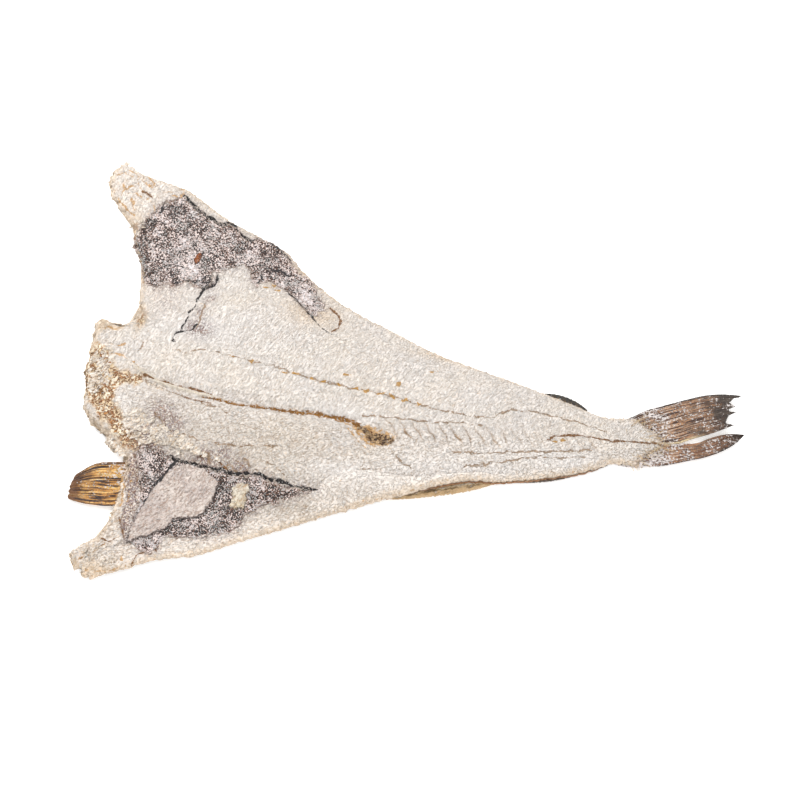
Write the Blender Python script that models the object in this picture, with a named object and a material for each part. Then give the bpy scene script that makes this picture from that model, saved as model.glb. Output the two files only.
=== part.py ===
"""Salted dried cod: one whole fish without its head, split open from the belly, salted and dried flat.

It lies on its skin with the flesh side up. +X runs along the backbone to the tail, +Y across the fish to
the flap that has curled up, and +Z is up. The origin is the middle of the fish's box, on the surface that
it lies on. Lengths are in metres.
"""

import bmesh
import bpy
import numpy as np

# ---- The outline, seen from above. Only the bends are given, and smooth curves join them. ----

NAPE = (-0.335, -0.008)  # the middle of the cut where the head was
LOWER_LUG = (-0.290, -0.238)  # the outer front corner of one belly flap
UPPER_LUG = (-0.342, 0.245)  # the outer front corner of the other flap
TAIL_ROOT = (0.276, -0.012)  # where the backbone ends between the two lobes of the tail fin

# From the lower lug along the collar cut to the nape.
LOWER_COLLAR = [
    LOWER_LUG,
    (-0.299, -0.227),
    (-0.296, -0.217),
    (-0.275, -0.198),
    (-0.272, -0.177),
    (-0.267, -0.157),
    (-0.269, -0.138),
    (-0.267, -0.113),
    (-0.289, -0.087),
    (-0.313, -0.070),
    (-0.326, -0.053),
    (-0.328, -0.025),
    NAPE,
]
# From the nape past the knob of the collar bone and round a bay to the upper lug.
UPPER_COLLAR = [
    NAPE,
    (-0.333, 0.024),
    (-0.337, 0.042),
    (-0.336, 0.052),
    (-0.328, 0.055),
    (-0.309, 0.050),
    (-0.299, 0.057),
    (-0.291, 0.070),
    (-0.297, 0.088),
    (-0.299, 0.118),
    (-0.311, 0.142),
    (-0.320, 0.167),
    (-0.332, 0.184),
    (-0.350, 0.202),
    (-0.354, 0.218),
    (-0.352, 0.234),
    UPPER_LUG,
]
UPPER_EDGE = [
    UPPER_LUG,
    (-0.330, 0.237),
    (-0.299, 0.231),
    (-0.276, 0.227),
    (-0.252, 0.215),
    (-0.228, 0.201),
    (-0.188, 0.185),
    (-0.152, 0.171),
    (-0.127, 0.148),
    (-0.073, 0.112),
    (-0.023, 0.089),
    (0.029, 0.066),
    (0.095, 0.047),
    (0.162, 0.027),
    (0.215, 0.012),
    (0.240, 0.015),
]
LOWER_EDGE = [
    LOWER_LUG,
    (-0.281, -0.244),
    (-0.252, -0.233),
    (-0.220, -0.216),
    (-0.175, -0.202),
    (-0.147, -0.187),
    (-0.050, -0.138),
    (0.001, -0.113),
    (0.035, -0.099),
    (0.061, -0.089),
    (0.085, -0.082),
    (0.107, -0.079),
    (0.139, -0.072),
    (0.200, -0.052),
    (0.220, -0.041),
    (0.247, -0.041),
]
# The line along which the two fillets meet.
SPLIT_LINE = [
    NAPE,
    (-0.274, -0.013),
    (-0.225, -0.026),
    (-0.171, -0.029),
    (-0.089, -0.036),
    (0.023, -0.038),
    (0.120, -0.031),
    (0.200, -0.021),
    TAIL_ROOT,
]

# ---- Thicknesses and heights ----

LOIN_PLACES = (0.0, 0.09, 0.25, 0.50, 0.75, 0.92, 1.0)  # share of the way from nape to tail
LOIN_THICK = (0.019, 0.026, 0.028, 0.024, 0.019, 0.014, 0.005)
FLAP_THICK = 0.0050  # belly flaps, at the front
STALK_EDGE_THICK = 0.008  # the edges near the tail
STALK_EDGE_RUN = (0.3, 0.7)  # shares of the length between which the edge thickens
FLAP_STARTS_AT_NAPE = 0.25  # share of the way out where the loin begins to thin, at the nape
FLAP_ENDS_AT_NAPE = 0.60  # and where only the flap's thickness is left
FLAP_STARTS_LATER = 0.35  # both places lie this much further out from the middle of the fish on
FLAP_ENDS_LATER = 0.38
FLAP_RUN = 0.5  # share of the length over which they move out
LUG_EXTRA = 0.007  # the lugs are thicker than their flaps
LUG_ENDS = 0.10  # share of the length
LUG_STARTS = 0.75  # share of the way out to the edge
COLLAR_PULL = 5  # the higher, the shorter the stretch that follows the collar cut
LEAST_SHARE = 0.35  # hollows leave at least this share of the thickness
NAPE_LIFT = 0.003  # the skin rises from the table under the nape
NAPE_LIFT_ENDS = 0.05  # share of the length
EDGE_LIFT = 0.0025  # and under the edges
EDGE_LIFT_STARTS = 0.6  # share of the way from the split line out to the edge
UPPER_CURL = 0.036  # how far the upper flap has curled up in drying
UPPER_CURL_ENDS = 0.50  # share of the length at which that curl has died out
UPPER_CURL_STARTS = 0.2  # share of the way out to the edge
LOWER_CURL = 0.005
LOWER_CURL_ENDS = 0.2
LOWER_CURL_STARTS = 0.5
WAVE_LIFT = 0.004  # a wave in the lower edge
WAVE_PLACE = 0.66
WAVE_LENGTH = 0.10
RIM_ROUND = 0.30  # share of the thickness taken off the upper corner of the rim

SPLIT_DEPTH = 0.006  # the groove along which the fillets meet
SPLIT_WIDTH = 0.008
SPLIT_GROOVE = (-0.280, -0.045)  # from X to X
GROOVE_FADE = (0.03, 0.02)  # its depth grows and dies out over these lengths
BONE_HEIGHT = 0.0025  # the rear backbone, left in the fish
BONE_WIDTH = 0.012
BONE_RUN = (-0.020, 0.235)
BONE_FADE = (0.02, 0.03)
VENTRICLE = (-0.021, -0.052)  # the pit at the end of the body cavity
VENTRICLE_SIZE = (0.019, 0.011)
VENTRICLE_DEPTH = 0.009
PATCH = (-0.213, -0.150)  # the loose flap of pale flesh on the lower membrane
PATCH_SIZE = (0.045, 0.030)
PATCH_HEIGHT = 0.004
BELLY_LOBE = (-0.010, -0.112)  # the raised pale roll along the lower edge
BELLY_LOBE_SIZE = (0.085, 0.014)
BELLY_LOBE_HEIGHT = 0.004
SPUR_PLACES = [(-0.215, 0.075), (-0.150, 0.060), (-0.060, 0.030), (-0.110, -0.075), (0.080, 0.010)]
SPUR_SIZE = (0.035, 0.020)
SPUR_HEIGHT = 0.0020  # gentle humps of the dried muscle

# ---- Fins ----

FIN_ROOT_THICK = 0.0034
FIN_TIP_THICK = 0.0018
RAY_HEIGHT = 0.0006
TAIL_RAYS = 7
RAYS_FLATTEN = 0.7  # the ribs lose this share of their height towards the tip
TAIL_HEIGHT = 0.003
TAIL_TIP_RISE = 0.003
WORN_BLUNTNESS = 0.35  # the lower, the sooner a worn fin's rays shorten beside its edges
TOOTH_SHARE = 0.35  # share of the wear that comes and goes from tooth to tooth
UPPER_LOBE_LEADING = [(0.205, 0.004), (0.237, 0.019), (0.269, 0.038), (0.328, 0.059), (0.348, 0.060)]
UPPER_LOBE_TRAILING = [(0.220, -0.020), (0.262, -0.014), (0.286, -0.006), (0.317, 0.008), (0.342, 0.022)]
LOWER_LOBE_LEADING = [(0.205, -0.036), (0.238, -0.042), (0.274, -0.035), (0.318, -0.018), (0.353, 0.011)]
LOWER_LOBE_TRAILING = [(0.220, -0.016), (0.262, -0.012), (0.304, -0.004), (0.331, 0.008), (0.347, 0.011)]
BREAST_FIN_LEADING = [(-0.232, -0.098), (-0.270, -0.108), (-0.299, -0.115), (-0.319, -0.130)]
BREAST_FIN_TRAILING = [(-0.236, -0.135), (-0.270, -0.159), (-0.296, -0.162), (-0.323, -0.157)]
FOLDED_FIN_LEADING = [(-0.262, 0.050), (-0.215, 0.085), (-0.180, 0.100), (-0.150, 0.108)]
FOLDED_FIN_TRAILING = [(-0.255, 0.020), (-0.210, 0.035), (-0.175, 0.055), (-0.140, 0.080)]
BREAST_RAYS = 5
BREAST_HEIGHT = 0.0045
BREAST_ARCH = 0.0015
FOLDED_GAP = 0.0008  # the folded fin lies this far above the lower side of the flap
# Each vent fin is a low strip beside an edge: the edge's points, and how far out the strip reaches.
REAR_UPPER_FIN = [(0.142, 0.032), (0.160, 0.027), (0.194, 0.017)]
REAR_UPPER_REACH = 0.010
REAR_UPPER_RISE = 0.0045
VENT_FIN = [(-0.002, -0.112), (0.035, -0.097), (0.104, -0.079)]
VENT_FIN_REACH = 0.014
REAR_LOWER_FIN = [(0.112, -0.077), (0.160, -0.065), (0.216, -0.042)]
REAR_LOWER_REACH = 0.004
STRIP_DROOP = -0.0012  # the lower strips sink a little outwards
STRIP_ROOT = 0.012  # how far a strip reaches back under the flesh
STRIP_HEIGHT = 0.0034
STRIP_HALF_THICK = (0.0018, 0.0012)  # at the root and at the outer edge
STRIP_RIB = 0.0004
STRIP_SLANT = 0.25  # the rays lean back towards the tail
STRIP_END = 0.03  # share of its length at which a strip stops short of running out to nothing
STRIP_BLUNTNESS = 0.7
FLOOR_GAP = 0.0005  # no fin reaches down to the table

# ---- Fineness ----

ROWS_ALONG = 58
ROWS_ACROSS = 34
ACROSS_CROWDING = 0.35  # rows lie closer at the split line and at the edges
FIN_STEPS = 10
STRIP_ROWS = 3
CURVE_SAMPLES = 120  # points on a curve from which distances are measured
GROUND_SAMPLES = (80, 61)  # places along and across from which the flap's height is read
NEAREST_PLACES = 4
RIM_BAND = 0.001  # the outermost row of the grid
LEVEL = 0.9999  # faces on the underside that look straight down this nearly are joined
FLAT_ANGLE = 0.002  # radians; where they lie in one plane they become one face

FLESH_COLOUR = (0.80, 0.72, 0.62, 1.0)
FLESH_ROUGHNESS = 0.75


def smooth_step(value, start, end):
    """0 before start, 1 after end, and an S-shaped rise between them."""
    share = np.clip((value - start) / (end - start), 0.0, 1.0)
    return share * share * (3.0 - 2.0 * share)


def along(points, share):
    """Points at these shares of the length of a smooth curve through the given points."""
    points = np.array(points, float)
    steps = np.linalg.norm(np.diff(points, axis=0), axis=1)
    reach = np.concatenate(([0.0], np.cumsum(steps)))
    reach /= reach[-1]
    slope = np.gradient(points, reach, axis=0)
    share = np.clip(np.asarray(share, float), 0.0, 1.0)
    first = np.clip(np.searchsorted(reach, share, side="right") - 1, 0, len(points) - 2)
    span = (reach[first + 1] - reach[first])[..., None]
    f = (share[..., None] - reach[first][..., None]) / span
    start, end = points[first], points[first + 1]
    pull_start, pull_end = slope[first] * span, slope[first + 1] * span
    from_start = (1 + 2 * f) * (1 - f) ** 2 * start + f * (1 - f) ** 2 * pull_start
    to_end = f * f * (3 - 2 * f) * end + f * f * (f - 1) * pull_end
    return from_start + to_end


def distance_to(curve, places):
    """Distance of each place from a curve's nearest point."""
    samples = along(curve, np.linspace(0.0, 1.0, CURVE_SAMPLES))
    gaps = np.linalg.norm(places[:, None, :] - samples[None, :, :], axis=2)
    return gaps.min(axis=1)


def mound(places, centre, size):
    """1 at the centre, falling to 0 well outside an ellipse of this size."""
    offset = (places - np.array(centre)) / np.array(size)
    return np.exp(-np.sum(offset * offset, axis=1))


def plan(s, t):
    """The place of each point of the fish, seen from above.

    s runs from the collar cut (0) to the tail (1), and t from the lower edge (-1) over the split line (0)
    to the upper edge (1). The points of the three long curves are joined by straight lines, and near the
    front they are pulled onto the collar cut.
    """
    middle = along(SPLIT_LINE, s)
    outer = np.where((t > 0)[:, None], along(UPPER_EDGE, s), along(LOWER_EDGE, s))
    side = np.abs(t)[:, None]
    joined = middle * (1 - side) + outer * side
    corner = np.where((t > 0)[:, None], np.array(UPPER_LUG), np.array(LOWER_LUG))
    straight = np.array(NAPE) * (1 - side) + corner * side
    collar = np.where((t > 0)[:, None], along(UPPER_COLLAR, np.abs(t)), along(LOWER_COLLAR, 1 - np.abs(t)))
    return joined + (collar - straight) * ((1 - s) ** COLLAR_PULL)[:, None]


def underside(s, t):
    """Height of the skin: flat on the table in the middle, and lifted or curled up towards the edges."""
    lift = EDGE_LIFT * smooth_step(np.abs(t), EDGE_LIFT_STARTS, 1.0)
    nape = NAPE_LIFT * (1 - smooth_step(s, 0.0, NAPE_LIFT_ENDS))
    curl = UPPER_CURL * (1 - smooth_step(s, 0.0, UPPER_CURL_ENDS)) * smooth_step(t, UPPER_CURL_STARTS, 1.0)
    low = LOWER_CURL * (1 - smooth_step(s, 0.0, LOWER_CURL_ENDS)) * smooth_step(-t, LOWER_CURL_STARTS, 1.0)
    beside_wave = 1 - smooth_step(np.abs(s - WAVE_PLACE), 0.0, WAVE_LENGTH)
    wave = WAVE_LIFT * beside_wave * smooth_step(-t, LOWER_CURL_STARTS, 1.0)
    return lift + nape + curl + low + wave


def thickness(s, t):
    """Thickness of the flesh: thick loins beside the split line, thin belly flaps, thicker lugs."""
    side = np.abs(t)
    loin = np.interp(s, LOIN_PLACES, LOIN_THICK)
    edge = FLAP_THICK + (STALK_EDGE_THICK - FLAP_THICK) * smooth_step(s, *STALK_EDGE_RUN)
    edge = np.minimum(edge, loin)
    moved_out = smooth_step(s, 0.0, FLAP_RUN)
    flap_starts = FLAP_STARTS_AT_NAPE + FLAP_STARTS_LATER * moved_out
    flap_ends = FLAP_ENDS_AT_NAPE + FLAP_ENDS_LATER * moved_out
    flesh = 1 - smooth_step(side, flap_starts, flap_ends)
    lug = LUG_EXTRA * (1 - smooth_step(s, 0.0, LUG_ENDS)) * smooth_step(side, LUG_STARTS, 1.0)
    return edge + (loin - edge) * flesh + lug


def relief(places):
    """The larger hollows and humps of the flesh side."""
    x = places[:, 0]
    from_split = distance_to(SPLIT_LINE, places)
    in_groove = smooth_step(x, SPLIT_GROOVE[0], SPLIT_GROOVE[0] + GROOVE_FADE[0])
    in_groove = in_groove * (1 - smooth_step(x, SPLIT_GROOVE[1], SPLIT_GROOVE[1] + GROOVE_FADE[1]))
    groove = -SPLIT_DEPTH * np.exp(-((from_split / SPLIT_WIDTH) ** 2)) * in_groove
    on_bone = smooth_step(x, BONE_RUN[0], BONE_RUN[0] + BONE_FADE[0])
    on_bone = on_bone * (1 - smooth_step(x, BONE_RUN[1] - BONE_FADE[1], BONE_RUN[1]))
    bone = BONE_HEIGHT * np.exp(-((from_split / BONE_WIDTH) ** 4)) * on_bone
    pit = -VENTRICLE_DEPTH * mound(places, VENTRICLE, VENTRICLE_SIZE)
    patch = PATCH_HEIGHT * mound(places, PATCH, PATCH_SIZE)
    roll = BELLY_LOBE_HEIGHT * mound(places, BELLY_LOBE, BELLY_LOBE_SIZE)
    humps = sum(SPUR_HEIGHT * mound(places, centre, SPUR_SIZE) for centre in SPUR_PLACES)
    return groove + bone + pit + patch + roll + humps


def crowded(t):
    """Moves evenly spaced rows closer together at -1, 0 and 1."""
    return t - ACROSS_CROWDING * np.sin(2 * np.pi * t) / (2 * np.pi)


def sheet_solid(name, steps_along, steps_across, shape):
    """A closed solid between two surfaces over one grid.

    shape takes the grid's two parameters, each from 0 to 1, and returns the upper and the lower points.
    """
    mesh = bmesh.new()
    bmesh.ops.create_grid(mesh, x_segments=steps_along, y_segments=steps_across, size=0.5)
    corners = np.array([vertex.co[:2] for vertex in mesh.verts]) + 0.5
    upper, lower = shape(corners[:, 0], corners[:, 1])
    lifted = bmesh.ops.extrude_face_region(mesh, geom=mesh.faces[:])["geom"]
    lifted = [item for item in lifted if isinstance(item, bmesh.types.BMVert)]
    copies = np.array([vertex.co[:2] for vertex in lifted]) + 0.5
    copy_upper, _ = shape(copies[:, 0], copies[:, 1])
    originals = [vertex for vertex in mesh.verts if vertex not in set(lifted)]
    for vertex, place in zip(originals, lower):
        vertex.co = place
    for vertex, place in zip(lifted, copy_upper):
        vertex.co = place
    bmesh.ops.recalc_face_normals(mesh, faces=mesh.faces[:])
    flat = [edge for edge in mesh.edges if all(face.normal.z < -LEVEL for face in edge.link_faces)]
    bmesh.ops.dissolve_limit(mesh, angle_limit=FLAT_ANGLE, use_dissolve_boundaries=False, verts=[], edges=flat)
    data = bpy.data.meshes.new(name)
    mesh.to_mesh(data)
    mesh.free()
    return bpy.data.objects.new(name, data)


def body_surfaces(u, v):
    """Upper and lower points of the split body."""
    t = crowded(2 * v - 1)
    places = plan(u, t)
    low = underside(u, t)
    thick = thickness(u, t)
    high = low + thick + relief(places)
    at_rim = (np.abs(t) > 1 - RIM_BAND) | (u < RIM_BAND)
    high = np.where(at_rim, high - RIM_ROUND * thick, high)
    high = np.maximum(high, low + LEAST_SHARE * thick)
    return np.column_stack((places, high)), np.column_stack((places, low))


def fin_surfaces(leading, trailing, rays, reach, middle_height):
    """A function that gives a fin's upper and lower points.

    u runs from the root to the tip and v from the trailing to the leading edge. reach(v) shortens the
    rays, which leaves the tip ragged, and middle_height(u, places) carries the fin.
    """

    def surfaces(u, v):
        run = u * reach(v)
        places = along(trailing, run) * (1 - v)[:, None] + along(leading, run) * v[:, None]
        thick = FIN_ROOT_THICK + (FIN_TIP_THICK - FIN_ROOT_THICK) * u
        ribs = RAY_HEIGHT * np.cos(2 * np.pi * rays * v) * (1 - RAYS_FLATTEN * u)
        middle = middle_height(u, places)
        high = middle + thick / 2 + ribs
        low = middle - thick / 2
        return np.column_stack((places, high)), np.column_stack((places, low))

    return surfaces


def torn(depth, teeth):
    """Lengths of the rays of a worn fin: full at both edges, shorter and toothed between them."""

    def reach(v):
        hollow = np.clip(np.sin(np.pi * v), 0.0, 1.0) ** WORN_BLUNTNESS
        tooth = 0.5 + 0.5 * np.cos(2 * np.pi * teeth * v)
        return 1 - depth * hollow * (1 - TOOTH_SHARE + TOOTH_SHARE * tooth)

    return reach


def tail_height(u, places):
    """The tail fin lies 3 mm up and rises a little to its tips."""
    return TAIL_HEIGHT + TAIL_TIP_RISE * u * u


def breast_height(u, places):
    """The breast fin comes out from under the collar, just above the table."""
    return BREAST_HEIGHT + BREAST_ARCH * np.sin(np.pi * u)


def strip_surfaces(edge, reach_out, outward, rise):
    """A low fin beside an edge: outward is 1 for the upper edge and -1 for the lower, and rise lifts it."""

    def surfaces(u, v):
        on_edge = along(edge, u)
        kept = np.clip(u, STRIP_END, 1 - STRIP_END)
        profile = reach_out * np.sin(np.pi * kept) ** STRIP_BLUNTNESS
        offset = -STRIP_ROOT + v * (STRIP_ROOT + profile)
        places = on_edge + np.column_stack((STRIP_SLANT * offset, outward * offset))
        middle = STRIP_HEIGHT + rise * v
        half = STRIP_HALF_THICK[0] * (1 - v) + STRIP_HALF_THICK[1] * v
        ribs = STRIP_RIB * np.cos(np.pi * FIN_STEPS * u)
        high = np.column_stack((places, middle + half + ribs))
        return high, np.column_stack((places, middle - half))

    return surfaces


def folded_surfaces(leading, trailing):
    """The other breast fin, folded back and pressed onto the skin under the curled flap."""
    flat = fin_surfaces(leading, trailing, BREAST_RAYS, torn(0.10, 4), lambda u, places: 0 * u)
    rows = np.linspace(0, 1, GROUND_SAMPLES[0])
    samples_s, samples_t = np.meshgrid(rows, np.linspace(-1, 1, GROUND_SAMPLES[1]), indexing="ij")
    samples_s, samples_t = samples_s.ravel(), samples_t.ravel()
    ground = plan(samples_s, samples_t)
    height = underside(samples_s, samples_t)

    def surfaces(u, v):
        high, low = flat(u, v)
        gaps = np.linalg.norm(high[:, None, :2] - ground[None, :, :], axis=2)
        nearest = np.argsort(gaps, axis=1)[:, :NEAREST_PLACES]
        skin = height[nearest].mean(axis=1)
        high[:, 2] += skin + FOLDED_GAP
        low[:, 2] = np.maximum(low[:, 2] + skin, FLOOR_GAP)
        return high, low

    return surfaces


def cod_material():
    material = bpy.data.materials.new("dried_flesh")
    material.use_nodes = True
    shader = material.node_tree.nodes["Principled BSDF"]
    shader.inputs["Base Color"].default_value = FLESH_COLOUR
    shader.inputs["Roughness"].default_value = FLESH_ROUGHNESS
    shader.inputs["Metallic"].default_value = 0.0
    return material


def add_fin(collection, body, fin):
    """Makes the fin one solid with the body."""
    collection.objects.link(fin)
    fin.hide_render = True
    fin.display_type = "WIRE"
    union = body.modifiers.new("join_" + fin.name, "BOOLEAN")
    union.operation = "UNION"
    union.solver = "EXACT"
    union.object = fin


def build():
    for item in list(bpy.data.objects):
        bpy.data.objects.remove(item)
    parts = bpy.data.collections.new("salted_dried_cod")
    joined = bpy.data.collections.new("fins_to_join")
    bpy.context.scene.collection.children.link(parts)
    bpy.context.scene.collection.children.link(joined)

    body = sheet_solid("split_cod", ROWS_ALONG, ROWS_ACROSS, body_surfaces)
    parts.objects.link(body)
    body.data.materials.append(cod_material())

    upper_lobe = fin_surfaces(UPPER_LOBE_LEADING, UPPER_LOBE_TRAILING, TAIL_RAYS, torn(0.09, 3), tail_height)
    lower_lobe = fin_surfaces(LOWER_LOBE_LEADING, LOWER_LOBE_TRAILING, TAIL_RAYS, torn(0.0, 1), tail_height)
    breast = fin_surfaces(BREAST_FIN_LEADING, BREAST_FIN_TRAILING, BREAST_RAYS, torn(0.06, 4), breast_height)
    folded = folded_surfaces(FOLDED_FIN_LEADING, FOLDED_FIN_TRAILING)
    tail_across = 2 * TAIL_RAYS
    breast_across = 2 * BREAST_RAYS
    add_fin(joined, body, sheet_solid("tail_upper", FIN_STEPS, tail_across, upper_lobe))
    add_fin(joined, body, sheet_solid("tail_lower", FIN_STEPS, tail_across, lower_lobe))
    add_fin(joined, body, sheet_solid("breast_fin", FIN_STEPS, breast_across, breast))
    add_fin(joined, body, sheet_solid("folded_fin", FIN_STEPS, breast_across, folded))
    strips = {
        "rear_upper_fin": strip_surfaces(REAR_UPPER_FIN, REAR_UPPER_REACH, 1, REAR_UPPER_RISE),
        "vent_fin": strip_surfaces(VENT_FIN, VENT_FIN_REACH, -1, STRIP_DROOP),
        "rear_lower_fin": strip_surfaces(REAR_LOWER_FIN, REAR_LOWER_REACH, -1, STRIP_DROOP),
    }
    for name, surfaces in strips.items():
        add_fin(joined, body, sheet_solid(name, FIN_STEPS, STRIP_ROWS, surfaces))
    body.modifiers.new("triangles", "TRIANGULATE")
    body.data.shade_smooth()


build()
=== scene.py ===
# %% [markdown]
# # A whole salted dried cod
# The fish lost its head, was split from the belly and opened flat like a book. Then it lay in salt and dried
# until it was as stiff as a board. It lies on its skin here, with the flesh side up: two thick fillets beside
# a split line, thin belly flaps with torn dark membrane at the front, and the tail at the right.
# A fish could be sculpted by hand. This lesson works its surfaces out with numpy instead, so every groove has
# a place and a size in metres, and can be changed later. First comes the frame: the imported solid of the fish.

# %% Load the frame
import math

import bpy
import numpy as np
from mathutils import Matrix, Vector


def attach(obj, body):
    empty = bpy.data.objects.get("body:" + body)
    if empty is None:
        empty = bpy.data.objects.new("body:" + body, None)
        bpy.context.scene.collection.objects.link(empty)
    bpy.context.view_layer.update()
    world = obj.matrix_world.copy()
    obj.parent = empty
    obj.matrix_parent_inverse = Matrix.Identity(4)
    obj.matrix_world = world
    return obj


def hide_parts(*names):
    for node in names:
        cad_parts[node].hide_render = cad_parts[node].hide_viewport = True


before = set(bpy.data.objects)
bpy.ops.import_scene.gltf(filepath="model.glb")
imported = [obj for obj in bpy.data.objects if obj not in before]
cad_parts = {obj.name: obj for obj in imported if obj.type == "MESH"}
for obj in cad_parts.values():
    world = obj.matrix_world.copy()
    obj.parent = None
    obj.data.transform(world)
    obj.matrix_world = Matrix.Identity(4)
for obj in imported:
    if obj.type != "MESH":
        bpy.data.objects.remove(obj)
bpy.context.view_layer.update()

# %% [markdown]
# ## Two tools for shapes
# A smooth step goes from 0 to 1 in an S, and most borders below are made with it. The outlines are curves
# through a few points. They could be Bezier objects, but a formula can be asked for any place on the curve,
# and that is what a surface made of thousands of points needs.

# %% Smooth step and smooth curve
def smooth_step(value, start, end):
    """f squared times 3 - 2 f, where f = (value - start) / (end - start), kept between 0 and 1."""
    share = np.clip((value - start) / (end - start), 0.0, 1.0)
    return share * share * (3.0 - 2.0 * share)


def along(points, share):
    """Points at these shares of a curve's length.

    Between two given points the curve is a cubic whose slopes at both ends are those of the neighbours.
    """
    points = np.array(points, float)
    steps = np.linalg.norm(np.diff(points, axis=0), axis=1)
    reach = np.concatenate(([0.0], np.cumsum(steps)))
    reach /= reach[-1]
    slope = np.gradient(points, reach, axis=0)
    share = np.clip(np.asarray(share, float), 0.0, 1.0)
    first = np.clip(np.searchsorted(reach, share, side="right") - 1, 0, len(points) - 2)
    span = (reach[first + 1] - reach[first])[..., None]
    f = (share[..., None] - reach[first][..., None]) / span
    from_start = (1 + 2 * f) * (1 - f) ** 2 * points[first] + f * (1 - f) ** 2 * slope[first] * span
    to_end = f * f * (3 - 2 * f) * points[first + 1] + f * f * (f - 1) * slope[first + 1] * span
    return from_start + to_end


# %% [markdown]
# ## Noise
# Dried flesh is never even. Noise is a random field that changes smoothly from place to place: a small size
# gives grain and a large size gives humps. Blender's textures can do this in a modifier, but here the same
# field also has to shape outlines and colour masks, so it is computed as an array.

# %% Noise
LATTICE = 256


def noise(x, y, size, seed):
    """A random slope at each corner of a square lattice, blended with the curve 6 f^5 - 15 f^4 + 10 f^3."""
    turn = np.random.default_rng(seed).uniform(0.0, 2 * np.pi, (LATTICE, LATTICE))
    slope_x, slope_y = np.cos(turn), np.sin(turn)
    x, y = np.asarray(x) / size, np.asarray(y) / size
    column, row = np.floor(x).astype(int), np.floor(y).astype(int)
    fx, fy = x - column, y - row

    def corner(i, j):
        """The slope at one corner of each point's cell, times the way from that corner to the point."""
        place = ((column + i) % LATTICE, (row + j) % LATTICE)
        return slope_x[place] * (fx - i) + slope_y[place] * (fy - j)

    bx, by = fx**3 * (fx * (6 * fx - 15) + 10), fy**3 * (fy * (6 * fy - 15) + 10)
    near = corner(0, 0) * (1 - bx) + corner(1, 0) * bx
    far = corner(0, 1) * (1 - bx) + corner(1, 1) * bx
    return 1.5 * (near * (1 - by) + far * by)


def layered(x, y, size, seed, layers=3):
    """The sum of several noises, each half as large and half as strong as the one before."""
    return sum(noise(x, y, size / 2**k, seed + k) / 2**k for k in range(layers))


# %% [markdown]
# ## Distance to a line
# The creases, the black lines and the borders of the membrane are all known as lines on the fish. The black
# lines are torn edges of the lining, and in places painted shadow beside a raised edge. How far a point is
# from a line tells how dark or how deep it is. Painting a texture would also work, but a distance stays sharp
# at any zoom.

# %% Distances and insides
def path_distance(path, x, y):
    """The least distance to any piece of the path: to the foot of the perpendicular, or to the nearer end."""
    path = np.array(path, float)
    best = np.full(np.shape(x), np.inf)
    for start, end in zip(path[:-1], path[1:]):
        run = end - start
        share = np.clip(((x - start[0]) * run[0] + (y - start[1]) * run[1]) / max(run @ run, 1e-12), 0.0, 1.0)
        best = np.minimum(best, np.hypot(x - start[0] - share * run[0], y - start[1] - share * run[1]))
    return best


def inside_distance(corners, x, y):
    """Distance to a closed outline, positive inside. From inside, a ray crosses it an odd count of times."""
    corners = np.array(corners, float)
    loop = np.vstack((corners, corners[:1]))
    odd = np.zeros(np.shape(x), bool)
    for start, end in zip(loop[:-1], loop[1:]):
        crosses = (start[1] > y) != (end[1] > y)
        rise = end[1] - start[1]
        at = start[0] + (y - start[1]) * (end[0] - start[0]) / (rise if rise else 1e-12)
        odd ^= crosses & (x < at)
    return np.where(odd, 1.0, -1.0) * path_distance(loop, x, y)


def bell(distance, width):
    """exp(-(distance / width) squared): 1 on a line and 0 well beside it."""
    return np.exp(-((distance / width) ** 2))


def mound(x, y, centre, size):
    """exp(-(distance in units of the size) squared): 1 at the centre and 0 well outside an ellipse."""
    return np.exp(-(((x - centre[0]) / size[0]) ** 2) - ((y - centre[1]) / size[1]) ** 2)


# %% [markdown]
# ## The form of the fish
# These are the same named sizes and formulas as in the solid, so that the looks lie on it without fitting.
# s runs from the collar cut (0) to the tail (1), and t from the lower edge (-1) over the split line (0) to
# the upper edge (1).

# %% The outline
NAPE = (-0.335, -0.008)
LOWER_LUG = (-0.29, -0.238)
UPPER_LUG = (-0.342, 0.245)
LOWER_COLLAR = [
    LOWER_LUG, (-0.299, -0.227), (-0.296, -0.217), (-0.275, -0.198), (-0.272, -0.177), (-0.267, -0.157),
    (-0.269, -0.138), (-0.267, -0.113), (-0.289, -0.087), (-0.313, -0.07), (-0.326, -0.053),
    (-0.328, -0.025), NAPE,
]
UPPER_COLLAR = [
    NAPE, (-0.333, 0.024), (-0.337, 0.042), (-0.336, 0.052), (-0.328, 0.055), (-0.309, 0.05),
    (-0.299, 0.057), (-0.291, 0.07), (-0.297, 0.088), (-0.299, 0.118), (-0.311, 0.142), (-0.32, 0.167),
    (-0.332, 0.184), (-0.35, 0.202), (-0.354, 0.218), (-0.352, 0.234), UPPER_LUG,
]
UPPER_EDGE = [
    UPPER_LUG, (-0.33, 0.237), (-0.299, 0.231), (-0.276, 0.227), (-0.252, 0.215), (-0.228, 0.201),
    (-0.188, 0.185), (-0.152, 0.171), (-0.127, 0.148), (-0.073, 0.112), (-0.023, 0.089), (0.029, 0.066),
    (0.095, 0.047), (0.162, 0.027), (0.215, 0.012), (0.24, 0.015),
]
LOWER_EDGE = [
    LOWER_LUG, (-0.281, -0.244), (-0.252, -0.233), (-0.22, -0.216), (-0.175, -0.202), (-0.147, -0.187),
    (-0.05, -0.138), (0.001, -0.113), (0.035, -0.099), (0.061, -0.089), (0.085, -0.082),
    (0.107, -0.079), (0.139, -0.072), (0.2, -0.052), (0.22, -0.041), (0.247, -0.041),
]
SPLIT_LINE = [
    NAPE, (-0.274, -0.013), (-0.225, -0.026), (-0.171, -0.029), (-0.089, -0.036), (0.023, -0.038),
    (0.12, -0.031), (0.2, -0.021), (0.276, -0.012),
]
COLLAR_PULL = 5


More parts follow.
